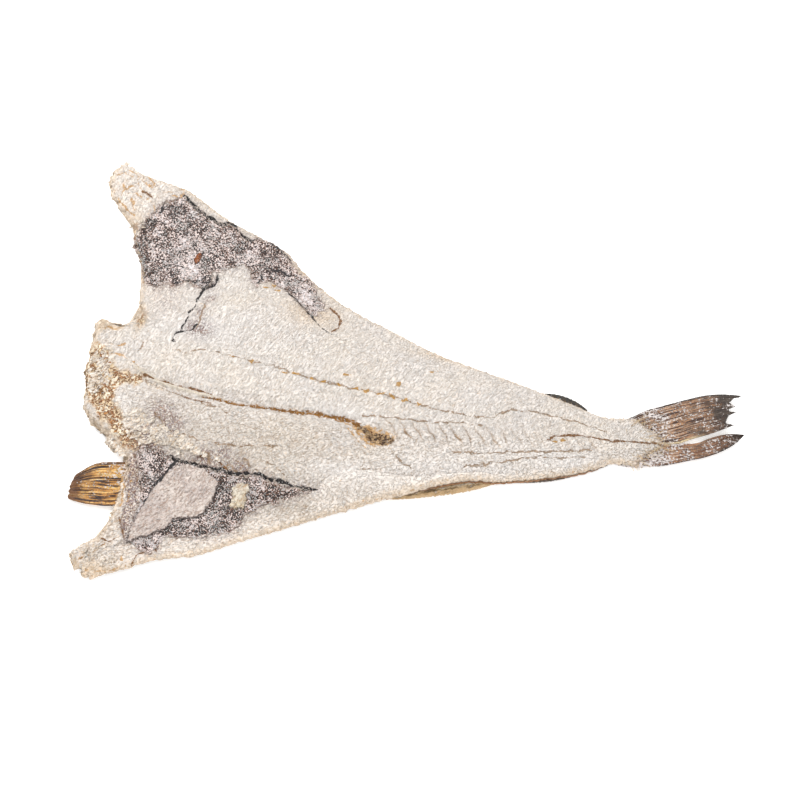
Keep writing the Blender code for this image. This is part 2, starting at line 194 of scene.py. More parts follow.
def plan(s, t):
    """Straight lines join the middle line to an edge, and near the front they are pulled onto the collar."""
    side = np.abs(t)[..., None]
    above = (t > 0)[..., None]
    outer = np.where(above, along(UPPER_EDGE, s), along(LOWER_EDGE, s))
    joined = along(SPLIT_LINE, s) * (1 - side) + outer * side
    straight = np.array(NAPE) * (1 - side) + np.where(above, UPPER_LUG, LOWER_LUG) * side
    collar = np.where(above, along(UPPER_COLLAR, np.abs(t)), along(LOWER_COLLAR, 1 - np.abs(t)))
    return joined + (collar - straight) * ((1 - s) ** COLLAR_PULL)[..., None]


# %% Heights of the skin and thickness of the flesh
def underside(s, t):
    """Flat in the middle, 2.5 mm up at the edges, and curled up by 36 mm at the front of the upper flap."""
    lift = 0.0025 * smooth_step(np.abs(t), 0.6, 1.0) + 0.003 * (1 - smooth_step(s, 0.0, 0.05))
    curl = 0.036 * (1 - smooth_step(s, 0.0, 0.5)) * smooth_step(t, 0.2, 1.0)
    low = 0.005 * (1 - smooth_step(s, 0.0, 0.2)) * smooth_step(-t, 0.5, 1.0)
    wave = 0.004 * (1 - smooth_step(np.abs(s - 0.66), 0.0, 0.1)) * smooth_step(-t, 0.5, 1.0)
    return lift + curl + low + wave


def thickness(s, t):
    """The loin's thickness beside the split line sinks in an S to the flap's, and the lugs are thicker."""
    side = np.abs(t)
    loin = np.interp(
        s, (0.0, 0.09, 0.25, 0.5, 0.75, 0.92, 1.0), (0.019, 0.026, 0.028, 0.024, 0.019, 0.014, 0.005),
    )
    edge = np.minimum(0.005 + 0.003 * smooth_step(s, 0.3, 0.7), loin)
    moved_out = smooth_step(s, 0.0, 0.5)
    flesh = 1 - smooth_step(side, 0.25 + 0.35 * moved_out, 0.60 + 0.38 * moved_out)
    lug = 0.007 * (1 - smooth_step(s, 0.0, 0.1)) * smooth_step(side, 0.75, 1.0)
    return edge + (loin - edge) * flesh + lug


VENTRICLE = (-0.021, -0.052)


def broad_relief(x, y):
    """The groove of the split, the rear backbone, the pit of the body cavity, the belly roll and humps."""
    gap = path_distance(SPLIT_LINE, x, y)
    in_groove = smooth_step(x, -0.28, -0.25) * (1 - smooth_step(x, -0.045, -0.025))
    on_bone = smooth_step(x, -0.02, 0.0) * (1 - smooth_step(x, 0.205, 0.235))
    relief = -0.006 * bell(gap, 0.008) * in_groove
    relief = relief + 0.0025 * np.exp(-((gap / 0.012) ** 4)) * on_bone
    relief = relief - 0.009 * mound(x, y, VENTRICLE, (0.019, 0.011))
    relief = relief + 0.004 * mound(x, y, (-0.01, -0.112), (0.085, 0.014))
    for centre in [(-0.215, 0.075), (-0.15, 0.06), (-0.06, 0.03), (-0.11, -0.075), (0.08, 0.01)]:
        relief = relief + 0.002 * mound(x, y, centre, (0.035, 0.02))
    return relief


# %% [markdown]
# ## A ragged rim
# The knife and the drying leave no clean edge. Points near the rim are pushed about by noise: by half a
# millimetre along the fish, and by two at the torn collar. Every layer uses the same function, so that skin,
# flesh and salt keep together.

# %% Ragged rim
ticks = np.linspace(0.0, 1.0, 90)
ones = np.ones_like(ticks)
RIM = np.vstack((
    plan(ticks, -ones), plan(ones, 2 * ticks - 1)[::9], plan(ticks[::-1], ones),
    plan(0 * ones, 1 - 2 * ticks),
))
RIM_ROUGH = 0.0013
COLLAR_ROUGH = 0.0030


def place(s, t):
    """The plan's place plus noise that dies out as exp(-distance from the rim / 4 mm), and that distance."""
    x, y = np.moveaxis(plan(s, t), -1, 0)
    gap = path_distance(RIM, x, y)
    rough = (RIM_ROUGH + COLLAR_ROUGH * (1 - smooth_step(s, 0.0, 0.05))) * np.exp(-gap / 0.004)
    push_x = rough * layered(x, y, 0.0055, 11)
    push_y = rough * layered(x, y, 0.0055, 21)
    return x + push_x, y + push_y, gap


print("points on the rim:", len(RIM))

# %% [markdown]
# ## Areas and lines on the flesh side
# The dark lining of the belly still clings to both flaps, torn along its borders. A pale loose patch lies on
# the lower one. Fine lines mark the pin bones, the split, the backbone and the folds. They are kept as short
# lists of points in millimetres, and noise roughens them.

# %% Areas
def metres(places):
    """Places or lists of places, given in millimetres, as arrays in metres."""
    return [np.array(each) / 1000 for each in places]


MEMBRANE_UPPER = metres([
    (-297, 199), (-285, 208), (-272, 216), (-253, 200), (-241, 194), (-228, 189), (-213, 189), (-204, 182),
    (-191, 176), (-176, 182), (-154, 170), (-143, 156), (-137, 147), (-118, 137), (-109, 120), (-101, 111),
    (-100, 101), (-106, 96), (-104, 87), (-111, 86), (-123, 100), (-139, 115), (-162, 128), (-172, 124),
    (-176, 118), (-183, 127), (-186, 138), (-194, 144), (-218, 131), (-225, 129), (-224, 117), (-228, 106),
    (-240, 108), (-250, 114), (-261, 105), (-271, 110), (-282, 102), (-294, 106), (-307, 134), (-316, 149),
    (-311, 172),
])
MEMBRANE_LOWER = metres([
    (-260, -102), (-251, -94), (-235, -98), (-218, -106), (-177, -113), (-157, -118), (-128, -115),
    (-108, -122), (-71, -121), (-87, -127), (-106, -135), (-123, -142), (-139, -154), (-141, -165),
    (-148, -174), (-176, -185), (-194.6, -187), (-206.8, -186.5), (-215.6, -192.5), (-216.5, -203),
    (-225.9, -209), (-234.1, -208), (-241.2, -203.5), (-248, -199.5), (-249, -187), (-248.5, -169.5),
    (-248, -152), (-249, -136), (-254.5, -119),
])
LOOSE_PATCH = metres([
    (-217, -111), (-200, -111), (-188, -114), (-176, -119), (-170, -126), (-173, -141), (-177, -151),
    (-185, -162), (-209, -168), (-216, -180), (-236, -195), (-248, -203), (-248, -175), (-243, -155),
    (-237, -136), (-224, -119),
])
FAT_LUMP = metres([
    (-158, -129), (-150, -126), (-140, -124), (-136, -128), (-138, -135), (-141, -145), (-148, -150),
    (-156, -146), (-154, -137),
])
NAPE_CUT = metres([
    (-345, 20), (-334.6, 23.5), (-319.9, 18), (-308.6, 7.6), (-299.1, -5.8), (-287.1, -10.5), (-273.9, -13),
    (-265.5, -18.5), (-272.9, -26.5), (-287.8, -28), (-296.3, -33.5), (-290.8, -47.3), (-282.3, -61.4),
    (-275.8, -72.4), (-265.2, -82.7), (-254.2, -91.6), (-249, -100), (-259.7, -105), (-276.2, -95),
    (-288.7, -84), (-306, -68), (-320, -53), (-331, -38.8), (-340, -18),
])
STAINED = metres([
    (-268.1, -110.6), (-258.9, -101.3), (-253.6, -119), (-248.5, -134.5), (-248.8, -151.9),
    (-249.1, -169.5), (-250.2, -187.2), (-250, -201), (-258.8, -188.8), (-261.5, -172.1), (-262.5, -154.5),
    (-264, -140.5), (-269.4, -128.7),
])

# %% Lines
# Along the tops of both membranes the heavy lines are torn edge and painted shadow under the flesh's edge.
HEAVY_EDGES = metres([
    [(-272, 216), (-253, 200), (-241, 194), (-228, 189), (-220, 191)],
    [(-220, 193), (-213, 191), (-204, 182), (-198, 177), (-191, 176)],
    [(-230.1, 105.8), (-232.5, 95), (-233.6, 89.2)],
    [(-223, -104), (-218, -106), (-200, -110), (-177, -113)],
    [(-216, -107), (-222.3, -113.1), (-229.1, -122.2), (-236.2, -133.5)],
    [(-177, -113), (-158, -116), (-134, -114), (-113, -118), (-87, -122), (-71, -121)],
])
BLACK_EDGES = metres([
    [(-174, 121), (-172, 139), (-164, 144), (-156, 145), (-141, 140)],
    [(-139, 114), (-123, 100), (-107, 81), (-98, 71), (-86, 65)],
    [(-292, 205), (-293, 196), (-296, 188), (-298, 178)],
    [(-262, 110), (-252, 115), (-242, 112), (-236, 118), (-229, 124)],
    [(-219.5, 126), (-218, 116), (-222, 108), (-227.5, 106)],
    [(-225.5, 125), (-230.1, 105.8), (-233.6, 89.2), (-233.9, 77.6), (-237.6, 68.3)],
    [(-191, 176), (-178, 181), (-166, 176), (-155, 169), (-146, 160)],
    [(-247, 198), (-236, 190), (-226, 187)], [(-234, 114), (-228, 117), (-222, 113)],
    # The second line below and the next one, at the loose patch's right and lower edges, are painted shadow.
    [(-232, 106), (-226, 110)], [(-174, -151), (-172, -143), (-170, -134), (-172, -128)],
    [(-216, -172), (-205, -167), (-190, -164), (-183, -160)],
    [(-236.2, -133.5), (-239.5, -142.8), (-241.9, -153), (-244, -166.5), (-246.3, -182), (-248.9, -196.8)],
    [(-237.9, 62.9), (-242.9, 46.1), (-249.7, 37.6), (-247, 31.3)],
    [(-226.6, 55.6), (-231.9, 47.1), (-245.1, 42.7), (-249.4, 37.6)],
])
BROWN_CREASES = metres([
    [(-204, -31), (-186, -33), (-168, -36), (-149, -34), (-121, -34)],
    [(-121, -34), (-104, -34), (-75, -33), (-49, -36), (-40, -40)],
])
RIDGE_LINES = metres([
    [(-269.4, -13.8), (-261.1, -15.8), (-251.2, -16.3), (-242.7, -17.8), (-232.3, -20.5), (-214, -22.5),
     (-196, -25.5)],
    [(-223, -34.5), (-208, -37.5), (-196, -39.5)],
    [(-226, -181.6), (-227.8, -187.5), (-230.2, -194.8), (-233.4, -203.3)],
    [(-219.3, -194.2), (-217.9, -200.8), (-217.7, -206.4)],
    [(-238.2, -225), (-235.1, -212.6), (-229.7, -209.5), (-221.9, -209.8)],
    [(-262, -174.6), (-258.2, -182.9), (-254.2, -191.6), (-249.1, -200.4)],
    [(-253.8, -128.7), (-249.3, -135.7), (-247.2, -140.2)],
    [(-273.3, -202.5), (-266.1, -203.9), (-261, -199.7)],
    [(-314.1, -33.8), (-309.1, -37.9), (-308.6, -43.5)],
    [(-317.8, 211.2), (-310.8, 209.9), (-305.1, 205.6)],
    [(-86, 66), (-80, 77), (-79, 89), (-84, 98), (-94, 107)],
    [(153, -31), (160, -25.5), (170, -22.5), (187, -19.6), (205, -21), (218, -21)],
    [(218, -21), (231, -17.5), (246.5, -14.7), (262, -12), (271, -13), (279, -9.5)],
    [(-198, -95), (-190, -103)], [(-177.5, -102), (-172, -106), (-164, -113)],
    [(-156, -103), (-151, -106), (-143, -112)],
])
FINE_CREASES = metres([
    [(-243, 22), (-231, 19), (-218, 26), (-202, 23), (-184, 21), (-161, 17)],
    [(-161, 17), (-138, 15), (-114, 9), (-85, 4), (-51, 0), (-23, -1)],
    [(-23, -1), (4, -5), (30, -10), (67, -14)],
    [(-221, -34), (-210, -39), (-196, -43), (-186, -42), (-176, -50)],
    [(-38, -30), (-9, -29), (23, -29), (39, -28), (60, -24), (83, -24)],
    [(60, -59), (90, -56), (122, -49), (174, -40), (199, -34)],
    [(75, -14), (93, -12), (112, 1), (139, 2), (177, -2), (211, -10)],
    [(71, -73), (105, -64), (141, -53), (191, -43)],
    [(-214, -80), (-196, -85), (-155, -87), (-125, -82), (-109, -82)],
    [(-223.7, 81.4), (-224.6, 69.9), (-224.6, 59.2), (-226.4, 51.7)],
    [(-274.3, -13.7), (-264.5, -21.6), (-252.4, -25.3), (-242, -28.6), (-223, -32.5)],
    [(-279.7, 26.3), (-280.2, 17.3), (-282.4, 12.2)], [(-248, -60), (-240, -66), (-233, -75), (-224, -80)],
    [(-195, -90), (-186, -99), (-181, -107)], [(-173, -101), (-163, -108), (-153, -114)],
    [(-149, -100), (-141, -106), (-132, -112)], [(-31, -93), (-15.8, -92.4), (-5.2, -87)],
    [(2.9, -72.3), (8.9, -78.8), (18.6, -84.1)], [(-124, -99), (-114, -106), (-105, -112)],
])
OCHRE_FOLDS = metres([
    [(-338, 234), (-330, 231), (-321.5, 225), (-312, 220)],
    [(-325.3, 227.8), (-324.3, 220.2), (-321.4, 215.1), (-317.8, 211.2)],
    [(-347.5, 226), (-340, 229), (-331.7, 226.3)], [(-314.5, 230), (-306.7, 224.1), (-309.8, 219.4)],
    [(-336.5, 208.4), (-332.2, 214.6), (-326.9, 215.7)],
    [(-322.9, 208.7), (-317.7, 203.4), (-310.9, 203.5)],
    [(-342.8, 196.8), (-334.6, 191), (-326.4, 183.9), (-320.7, 182.8)],
    [(-285.3, 213.4), (-278.5, 214), (-272.6, 218.9), (-274, 224), (-278.9, 222.7)],
    [(-306.8, 203.2), (-302.9, 197.5), (-299.8, 188.7)], [(-328.9, 201), (-324.6, 196.1), (-321.9, 189.2)],
    [(-306.4, 222.4), (-301.4, 218.4), (-295.6, 216.6), (-286.4, 219.1)],
    [(-340, 218), (-337, 210), (-339, 202)],
    [(-279.7, -240), (-271.1, -239), (-259.8, -236), (-250.2, -232.5)],
    [(-250.5, -219), (-246.5, -223.4), (-243.6, -227.5)],
    [(-277.7, -225.6), (-274.3, -214.2), (-268.4, -207.1)], [(-288, -232), (-282, -225), (-276, -217)],
    [(-269.8, -127.5), (-265.6, -138.5), (-264.8, -149.3), (-263.1, -160.1)],
    [(-259.3, -130.8), (-258.3, -143), (-258.7, -155.6)],
    [(-330, 38.5), (-322.5, 38.6), (-311.6, 42), (-305.3, 48)],
    [(-334.4, 23.4), (-319, 23.2), (-305.4, 21.8), (-297.4, 23.3)],
    [(-306.2, 10.9), (-295.5, 7.5), (-282.2, 0.4), (-275.4, -8.4)],
    [(-51, -46.5), (-43.3, -54.4), (-34.2, -63.7), (-25.3, -71.3)],
    [(-71.3, -32.8), (-60.1, -38.4), (-44.2, -40.5), (-28.3, -43.2)],
    [(-40, -48), (-31, -58), (-18, -65.5)],
])
BELLY_ROLL = metres([
    (-70, -121), (-66, -113), (-59, -107), (-41, -97), (-21, -94), (5, -93), (30, -90), (59, -82),
    (89, -75),
])
SPLIT_RIDGE = metres([
    (-300, 4), (-284, -3), (-271, -11), (-252, -18.5), (-219, -25.5), (-189, -29.5), (-170, -33),
])


def nearest_of(lines, x, y, wander=0.0, seed=50):
    """The least distance to several lines, after coarse and fine noise has moved the places by the wander."""
    x, y = (
        x + wander * (noise(x, y, 0.0075, seed) + 0.45 * noise(x, y, 0.0028, seed + 2)),
        y + wander * (noise(x, y, 0.0075, seed + 1) + 0.45 * noise(x, y, 0.0028, seed + 3)),
    )
    return np.min([path_distance(line, x, y) for line in lines], axis=0)


def black_distance(x, y):
    """Distance to the black lines: torn edges, and in places painted shadow. The heavy ones count as 0.6 mm
    nearer, so they come out thicker.
    """
    heavy, plain = (nearest_of(lines, x, y, 0.0016, 50) for lines in (HEAVY_EDGES, BLACK_EDGES))
    return np.minimum(heavy - 0.0006, plain)


def membrane_distance(x, y):
    """Distance to the border of the nearer membrane, positive on it."""
    return np.maximum(inside_distance(MEMBRANE_UPPER, x, y), inside_distance(MEMBRANE_LOWER, x, y))


# %% [markdown]
# ## Fine relief of the flesh
# The upper fillet dried in slanting fibres, and the lower one crumpled into small wrinkles. Both are noise:
# stretched along the fibres in one case, and folded into sharp valleys with an absolute value in the other.
# Creases, the ridge beside the split, the pits of the nape cut and the steps at the membranes are added.

# %% Fine relief
FIBRE_TURN = math.radians(64)


def fibres(x, y):
    """Two noises on turned places, 8.5 and 22 mm long along the fibre and 2.2 and 5.2 mm across it."""
    bend = 0.004 * noise(x, y, 0.03, 60)
    length = x * math.cos(FIBRE_TURN) + y * math.sin(FIBRE_TURN)
    across = -x * math.sin(FIBRE_TURN) + y * math.cos(FIBRE_TURN) + bend
    fine = noise(length / 0.0085, across / 0.0022, 1.0, 61)
    broad = noise(length / 0.022, across / 0.0052, 1.0, 62)
    return 0.6 * fine + 0.42 * broad


def wrinkles(x, y):
    """Absolute noise has valleys where the noise crosses 0, which look like creases between soft bumps."""
    x, y = x + 0.003 * noise(x, y, 0.012, 63), y + 0.003 * noise(x, y, 0.012, 64)
    coarse = np.abs(noise(x, y * 1.25, 0.0095, 65))
    fine = np.abs(noise(x, y, 0.0047, 66))
    return coarse + 0.55 * fine - 0.42, coarse, fine


def shreds(x, y, t):
    """Torn layers: absolute noise drawn out along each lug and bent by other noise."""
    turn = np.where(t > 0, -1.0, 0.8)
    bend = 0.005 * noise(x, y, 0.015, 72)
    length = x * np.cos(turn) + y * np.sin(turn)
    across = -x * np.sin(turn) + y * np.cos(turn) + bend
    broad = np.abs(noise(length / 0.018, across / 0.0062, 1.0, 74))
    return broad + 0.5 * np.abs(noise(length / 0.008, across / 0.003, 1.0, 75)) - 0.36


def fine_relief(x, y, s, t):
    """Metres added to the broad form: one term for each kind of mark."""
    on_upper = smooth_step(t, 0.0, 0.04)
    on_flap = smooth_step(np.abs(t), 0.45 + 0.4 * s, 0.75 + 0.25 * s)
    wrinkled, coarse_fold, fine_fold = wrinkles(x, y)
    crumpled = (1 - on_upper) * (1.0 - 0.55 * smooth_step(s, 0.45, 0.75)) + 0.22 * on_upper
    roll = path_distance(BELLY_ROLL, x, y)
    above = y > np.interp(x, *np.array(BELLY_ROLL).T)
    rolled = np.where(above, 0.0, 1.1 * bell(roll, 0.018)) * smooth_step(x, -0.08, -0.066)
    crumpled = crumpled * (1 - 0.8 * np.minimum(rolled, 1.0))
    fibre = fibres(x, y)
    height = 0.0006 * layered(x, y, 0.034, 67, 2)
    height += on_upper * 0.00043 * fibre + crumpled * 0.0021 * wrinkled
    height += (1 - on_upper) * 0.0003 * fibres(-x, y)
    flap_front = on_flap * (1 - smooth_step(s, 0.35, 0.6))
    height += flap_front * 0.0008 * layered(x, y, 0.009, 68)
    at_lug = (1 - smooth_step(s, 0.05, 0.16)) * smooth_step(np.abs(t), 0.25, 0.55)
    shred = shreds(x, y, t)
    height += at_lug * np.where(t > 0, 0.0012, 0.0025) * shred
    height += 0.00020 * noise(x, y, 0.003, 69)
    # Painted shade mask: the valleys of the wrinkles, the fibres and the lug shreds, and further down the nape
    # pits and the gaps between vertebrae.
    fold_shade = crumpled * np.maximum(smooth_step(coarse_fold, 0.13, 0.0), 0.7 * smooth_step(fine_fold, 0.11, 0.0))
    fold_shade = np.maximum(fold_shade, 0.42 * on_upper * smooth_step(fibre, -0.1, -0.42))
    fold_shade = np.maximum(fold_shade, 0.9 * at_lug * smooth_step(shred, -0.16, -0.32))
    dark = black_distance(x, y)
    brown = nearest_of(BROWN_CREASES, x, y, 0.0008, 52)
    crease = nearest_of(FINE_CREASES, x, y, 0.0018, 54)
    ridge_line = nearest_of(RIDGE_LINES, x, y, 0.0008, 56)
    ochre_line = nearest_of(OCHRE_FOLDS, x, y, 0.0016, 59)
    beads = 0.35 + 0.65 * np.abs(np.cos(np.pi * (x + 0.003) / 0.0133)) + 0.55 * noise(x, y, 0.004, 58)
    brown = brown + 0.0014 * (1 - np.clip(beads, 0.0, 1.0))
    # The crest is raised, and the flesh material also lightens it as a painted highlight on the ridge top.
    crest = bell(path_distance(SPLIT_RIDGE, x, y + 0.0004), 0.0024)
    crest = crest * smooth_step(x, -0.3, -0.272) * (1 - smooth_step(x, -0.21, -0.172))
    height -= 0.0007 * bell(dark, 0.0012) + 0.0016 * bell(brown, 0.0014)
    height -= 0.0007 * bell(crease, 0.0013) + 0.0009 * bell(ridge_line, 0.0012)
    height += 0.0036 * crest - 0.0010 * bell(ochre_line, 0.0015)
    in_membrane = membrane_distance(x, y)
    height -= 0.0019 * smooth_step(in_membrane, -0.001, 0.0022)
    ragged_nape = inside_distance(NAPE_CUT, x, y) + 0.004 * layered(x, y, 0.01, 76)
    in_nape = smooth_step(ragged_nape, -0.002, 0.005)
    in_nape = np.maximum(in_nape, mound(x, y, (-0.288, 0.055), (0.005, 0.012)))
    in_nape = np.maximum(in_nape, 0.9 * mound(x, y, (-0.317, 0.158), (0.006, 0.02)))
    pitted = np.minimum(np.abs(noise(x, y, 0.0062, 70)), np.abs(noise(x, y, 0.004, 71)) + 0.1)
    height += in_nape * (0.0026 * pitted - 0.0006 + 0.0010 * noise(x, y, 0.013, 77))
    fold_shade = np.maximum(fold_shade, 1.25 * in_nape * smooth_step(pitted, 0.13, 0.02))
    knob = mound(x, y, (-0.326, 0.045), (0.01, 0.0075))
    height += knob * (0.0066 + 0.0020 * noise(x, y, 0.005, 79))
    lip = np.where(above, -0.0006 * bell(roll, 0.004), 0.0017 * bell(roll - 0.006, 0.006))
    height += lip * smooth_step(x, -0.08, -0.066)
    spine = path_distance(SPLIT_LINE, x, y + 0.002)
    on_spine = smooth_step(x, -0.03, -0.01) * (1 - 0.5 * smooth_step(x, 0.09, 0.14))
    on_spine = on_spine * (1 - smooth_step(x, 0.2, 0.23)) * np.exp(-((spine / 0.0115) ** 4))
    joint = np.abs(np.cos(np.pi * (x + 0.7 * (y + 0.04) + 0.003 * noise(x, y, 0.012, 55)) / 0.0133))
    height += on_spine * 0.0022 * (joint - 0.7)
    below = smooth_step(np.interp(x, *np.array(SPLIT_LINE).T) - y, -0.002, 0.012)
    jointed = on_spine * smooth_step(joint, 0.38, 0.10)
    fold_shade = np.maximum(fold_shade, jointed * (1.1 + 0.9 * below + 0.6 * noise(x, y, 0.008, 58)))
    at_edge = smooth_step(-t, 0.8, 0.92) * (1 - smooth_step(s, 0.3, 0.4))
    # Of these marks, pale is partly painted light on the lugs, knob, belly roll and lower front edge.
    marks = {
        "black_line": dark, "brown_line": brown, "fine_line": crease, "ridge_line": ridge_line,
        "membrane": in_membrane, "ochre_line": ochre_line, "nape": np.maximum(in_nape, 0.35 * knob),
        "fold_shade": fold_shade, "crest": crest, "pale": np.max([at_lug, 0.8 * knob, rolled, at_edge], axis=0),
    }
    return height, marks


# %% The whole upper surface
RIM_LOW = 0.30
SOFT_TOP = 0.0460
HIGHEST = 0.0522


def tail_end(s, t):
    """Bulges the flesh 5 mm over the upper lobe's root, draws it 6 mm back at the lower one, and frays it."""
    bow = np.where(t > 0, 0.005, -0.006) * np.sin(np.pi * np.abs(t))
    fray = 0.0035 * layered(30.0 * np.abs(t), 5.0 * np.sign(t), 3.0, 78)
    return (bow + fray * smooth_step(np.abs(np.abs(t) - 0.5), 0.5, 0.35)) * smooth_step(s, 0.93, 1.0)


def flesh_top(s, t):
    """Skin height plus thickness, rounded off over the rim like a quarter circle, plus the relief."""
    x, y, gap = place(s, t)
    x = x + tail_end(s, t)
    low, thick = underside(s, t), thickness(s, t)
    fine, marks = fine_relief(x, y, s, t)
    inward = np.clip(gap / (0.35 * thick + 0.0016), 0.0, 1.0)
    roundness = np.sqrt(1 - (1 - inward) ** 2)
    high = low + thick * (RIM_LOW + (1 - RIM_LOW) * roundness)
    high += (broad_relief(x, y) + fine) * (0.25 + 0.75 * roundness)
    high = np.maximum(high, low + 0.0018)
    high = np.where(high > SOFT_TOP, SOFT_TOP + 0.005 * np.tanh((high - SOFT_TOP) / 0.005), high)
    golden = 0.017 * mound(x, y, (-0.324, 0.046), (0.02, 0.011))
    golden = golden + 0.012 * mound(x, y, (-0.332, 0.006), (0.014, 0.012))
    marks.update({"rim": gap - golden, "length": s, "across": t})
    return np.stack((x, y, high), axis=-1), np.stack((x, y, low), axis=-1), marks


# %% [markdown]
# ## From grids to closed meshes
# A surface over a grid of s and t has open borders. Each piece gets a coarser lower side as well, and strips
# of triangles join the two along all four borders, so that the piece is closed. This is what a Solidify
# modifier does, except that the hidden side here is coarser and costs few triangles.

# %% Shell of two grids
def grid(rows, columns, first=(0.0, 1.0), second=(0.0, 1.0)):
    """Evenly spaced values: the first array changes from row to row, and the second along each row."""
    return np.meshgrid(np.linspace(*first, rows), np.linspace(*second, columns), indexing="ij")


def cell_triangles(a, b, c, d):
    """Two triangles for each cell with the corners a, b, c and d."""
    return np.concatenate((np.stack((a, b, c), -1).reshape(-1, 3), np.stack((a, c, d), -1).reshape(-1, 3)))


def grid_triangles(rows, columns, first=0):
    """The cells of a grid numbered row by row. Their triangles turn left seen from above."""
    at = first + np.arange(rows - 1)[:, None] * columns + np.arange(columns - 1)[None, :]
    return cell_triangles(at, at + columns, at + columns + 1, at + 1)


def strip_triangles(first_line, second_line):
    """Triangles between two lines of points of unlike count: each point has a partner at the same share."""
    partner = np.round(np.linspace(0, len(second_line) - 1, len(first_line))).astype(int)
    a, b = first_line[:-1], first_line[1:]
    c, d = second_line[partner[:-1]], second_line[partner[1:]]
    steps = c != d
    return np.concatenate((np.stack((a, b, c), -1), np.stack((b, d, c), -1)[steps]))


def shell(top, under):
    """Points and triangles of the closed body between two surfaces, given as rows x columns x 3 arrays."""
    rows, columns, under_columns = top.shape[0], top.shape[1], under.shape[1]
    start = rows * columns
    upper = np.arange(start).reshape(rows, columns)
    lower = start + np.arange(rows * under_columns).reshape(rows, under_columns)
    triangles = np.concatenate((
        grid_triangles(rows, columns),
        grid_triangles(rows, under_columns, start)[:, ::-1],
        strip_triangles(upper[:, 0], lower[:, 0])[:, ::-1],
        strip_triangles(upper[:, -1], lower[:, -1]),
        strip_triangles(upper[0], lower[0]),
        strip_triangles(upper[-1], lower[-1])[:, ::-1],
    ))
    return np.concatenate((top.reshape(-1, 3), under.reshape(-1, 3))), triangles


def slab(x, y, high, low):
    """The closed body between two heights over the same places."""
    return shell(np.stack((x, y, high), axis=-1), np.stack((x, y, low), axis=-1))


def both_sides(marks):
    """The marks of the upper side, and the same again for the lower side."""
    return {label: np.concatenate((values.ravel(), values.ravel())) for label, values in marks.items()}


def repeated(faces, points_each, count):
    """The same triangles for each of several bodies whose points follow one another."""
    return (faces[None] + points_each * np.arange(count)[:, None, None]).reshape(-1, 3)


# %% Put a mesh into the scene
def put(name, data):
    """An object with this data, linked to the scene."""
    item = bpy.data.objects.new(name, data)
    bpy.context.scene.collection.objects.link(item)
    return item


def add_piece(name, points, triangles, material, slot_name, marks=None, sharp=70):
    """foreach_set fills the mesh from whole arrays. Marks are values kept at each point for the material."""
    corner = points[triangles]
    facing = np.cross(corner[:, 1] - corner[:, 0], corner[:, 2] - corner[:, 0])
    if np.einsum("ij,ij->", facing, corner.mean(axis=1) - points.mean(axis=0)) < 0:
        triangles = triangles[:, ::-1]
    mesh = bpy.data.meshes.new(name)
    mesh.vertices.add(len(points))
    mesh.vertices.foreach_set("co", np.ascontiguousarray(points, dtype=np.float32).ravel())
    mesh.loops.add(triangles.size)
    mesh.loops.foreach_set("vertex_index", np.ascontiguousarray(triangles, dtype=np.int32).ravel())
    mesh.polygons.add(len(triangles))
    mesh.polygons.foreach_set("loop_start", np.arange(0, triangles.size, 3, dtype=np.int32))
    for label, values in (marks or {}).items():
        layer = mesh.attributes.new(label, "FLOAT", "POINT")
        layer.data.foreach_set("value", np.ascontiguousarray(values, dtype=np.float32).ravel())
    mesh.update(calc_edges=True)
    mesh.validate()
    mesh.shade_smooth()
    mesh.set_sharp_from_angle(angle=math.radians(sharp))
    mesh.materials.append(material)
    piece = put(name, mesh)
    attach(piece, "root")
    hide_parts("split_cod")
    print(f"{name}: {len(mesh.polygons)} triangles")


# %% [markdown]
# ## Wiring materials
# A procedural material is a graph of small nodes. A few helpers make each node in one line, and take either
# a socket or a plain value for every input. Colours are given as screen values, where 255 is full, and `feed`
# turns them into the linear values that the renderer reckons with.

# %% Node helpers
EXPOSURE = 1.62


def screen(red, green, blue):
    """Linear colour: ((c / 255 + 0.055) / 1.055) to the power 2.4, over the exposure that the lamps give."""
    return tuple(((c / 255 + 0.055) / 1.055) ** 2.4 / EXPOSURE for c in (red, green, blue)) + (1.0,)


def feed(tree, socket, value):
    """Links a socket, or sets a plain value. A tuple of three is a screen colour."""
    if isinstance(value, bpy.types.NodeSocket):
        tree.links.new(value, socket)
    elif isinstance(value, tuple) and len(value) == 3:
        socket.default_value = screen(*value)
    else:
        socket.default_value = value


def speckle(tree, vector, scale, detail=2.0, roughness=0.6):
    """Noise from 0 to 1 with this many bumps to a metre."""
    item = tree.nodes.new("ShaderNodeTexNoise")
    feed(tree, item.inputs["Vector"], vector)
    feed(tree, item.inputs["Scale"], scale)
    item.inputs["Detail"].default_value = detail
    item.inputs["Roughness"].default_value = roughness
    return item.outputs["Fac"]


def step_up(tree, value, start, end, low=0.0, high=1.0):
    """A smooth rise from low to high while the value goes from start to end."""
    item = tree.nodes.new("ShaderNodeMapRange")
    item.interpolation_type = "SMOOTHSTEP"
    labels = ("Value", "From Min", "From Max", "To Min", "To Max")
    for label, given in zip(labels, (value, start, end, low, high)):
        feed(tree, item.inputs[label], given)
    return item.outputs["Result"]


def maths(tree, operation, first, second=0.0):
    """A Math node on one or two sockets or values."""
    item = tree.nodes.new("ShaderNodeMath")
    item.operation = operation
    feed(tree, item.inputs[0], first)
    feed(tree, item.inputs[1], second)
    return item.outputs[0]


def times(tree, first, second):
    """The product."""
    return maths(tree, "MULTIPLY", first, second)


def plus(tree, first, second):
    """The sum."""
    return maths(tree, "ADD", first, second)


def minus(tree, first, second):
    """The first less the second."""
    return maths(tree, "SUBTRACT", first, second)


def blend(tree, factor, first, second, mode="MIX"):
    """The second colour over the first, as much as the factor says."""
    item = tree.nodes.new("ShaderNodeMix")
    item.data_type = "RGBA"
    item.blend_type = mode
    feed(tree, item.inputs[0], factor)
    feed(tree, item.inputs[6], first)
    feed(tree, item.inputs[7], second)
    return item.outputs[2]


def mark(tree, name):
    """The value that a piece keeps at its points under this name."""
    item = tree.nodes.new("ShaderNodeAttribute")
    item.attribute_name = name
    return item.outputs["Fac"]


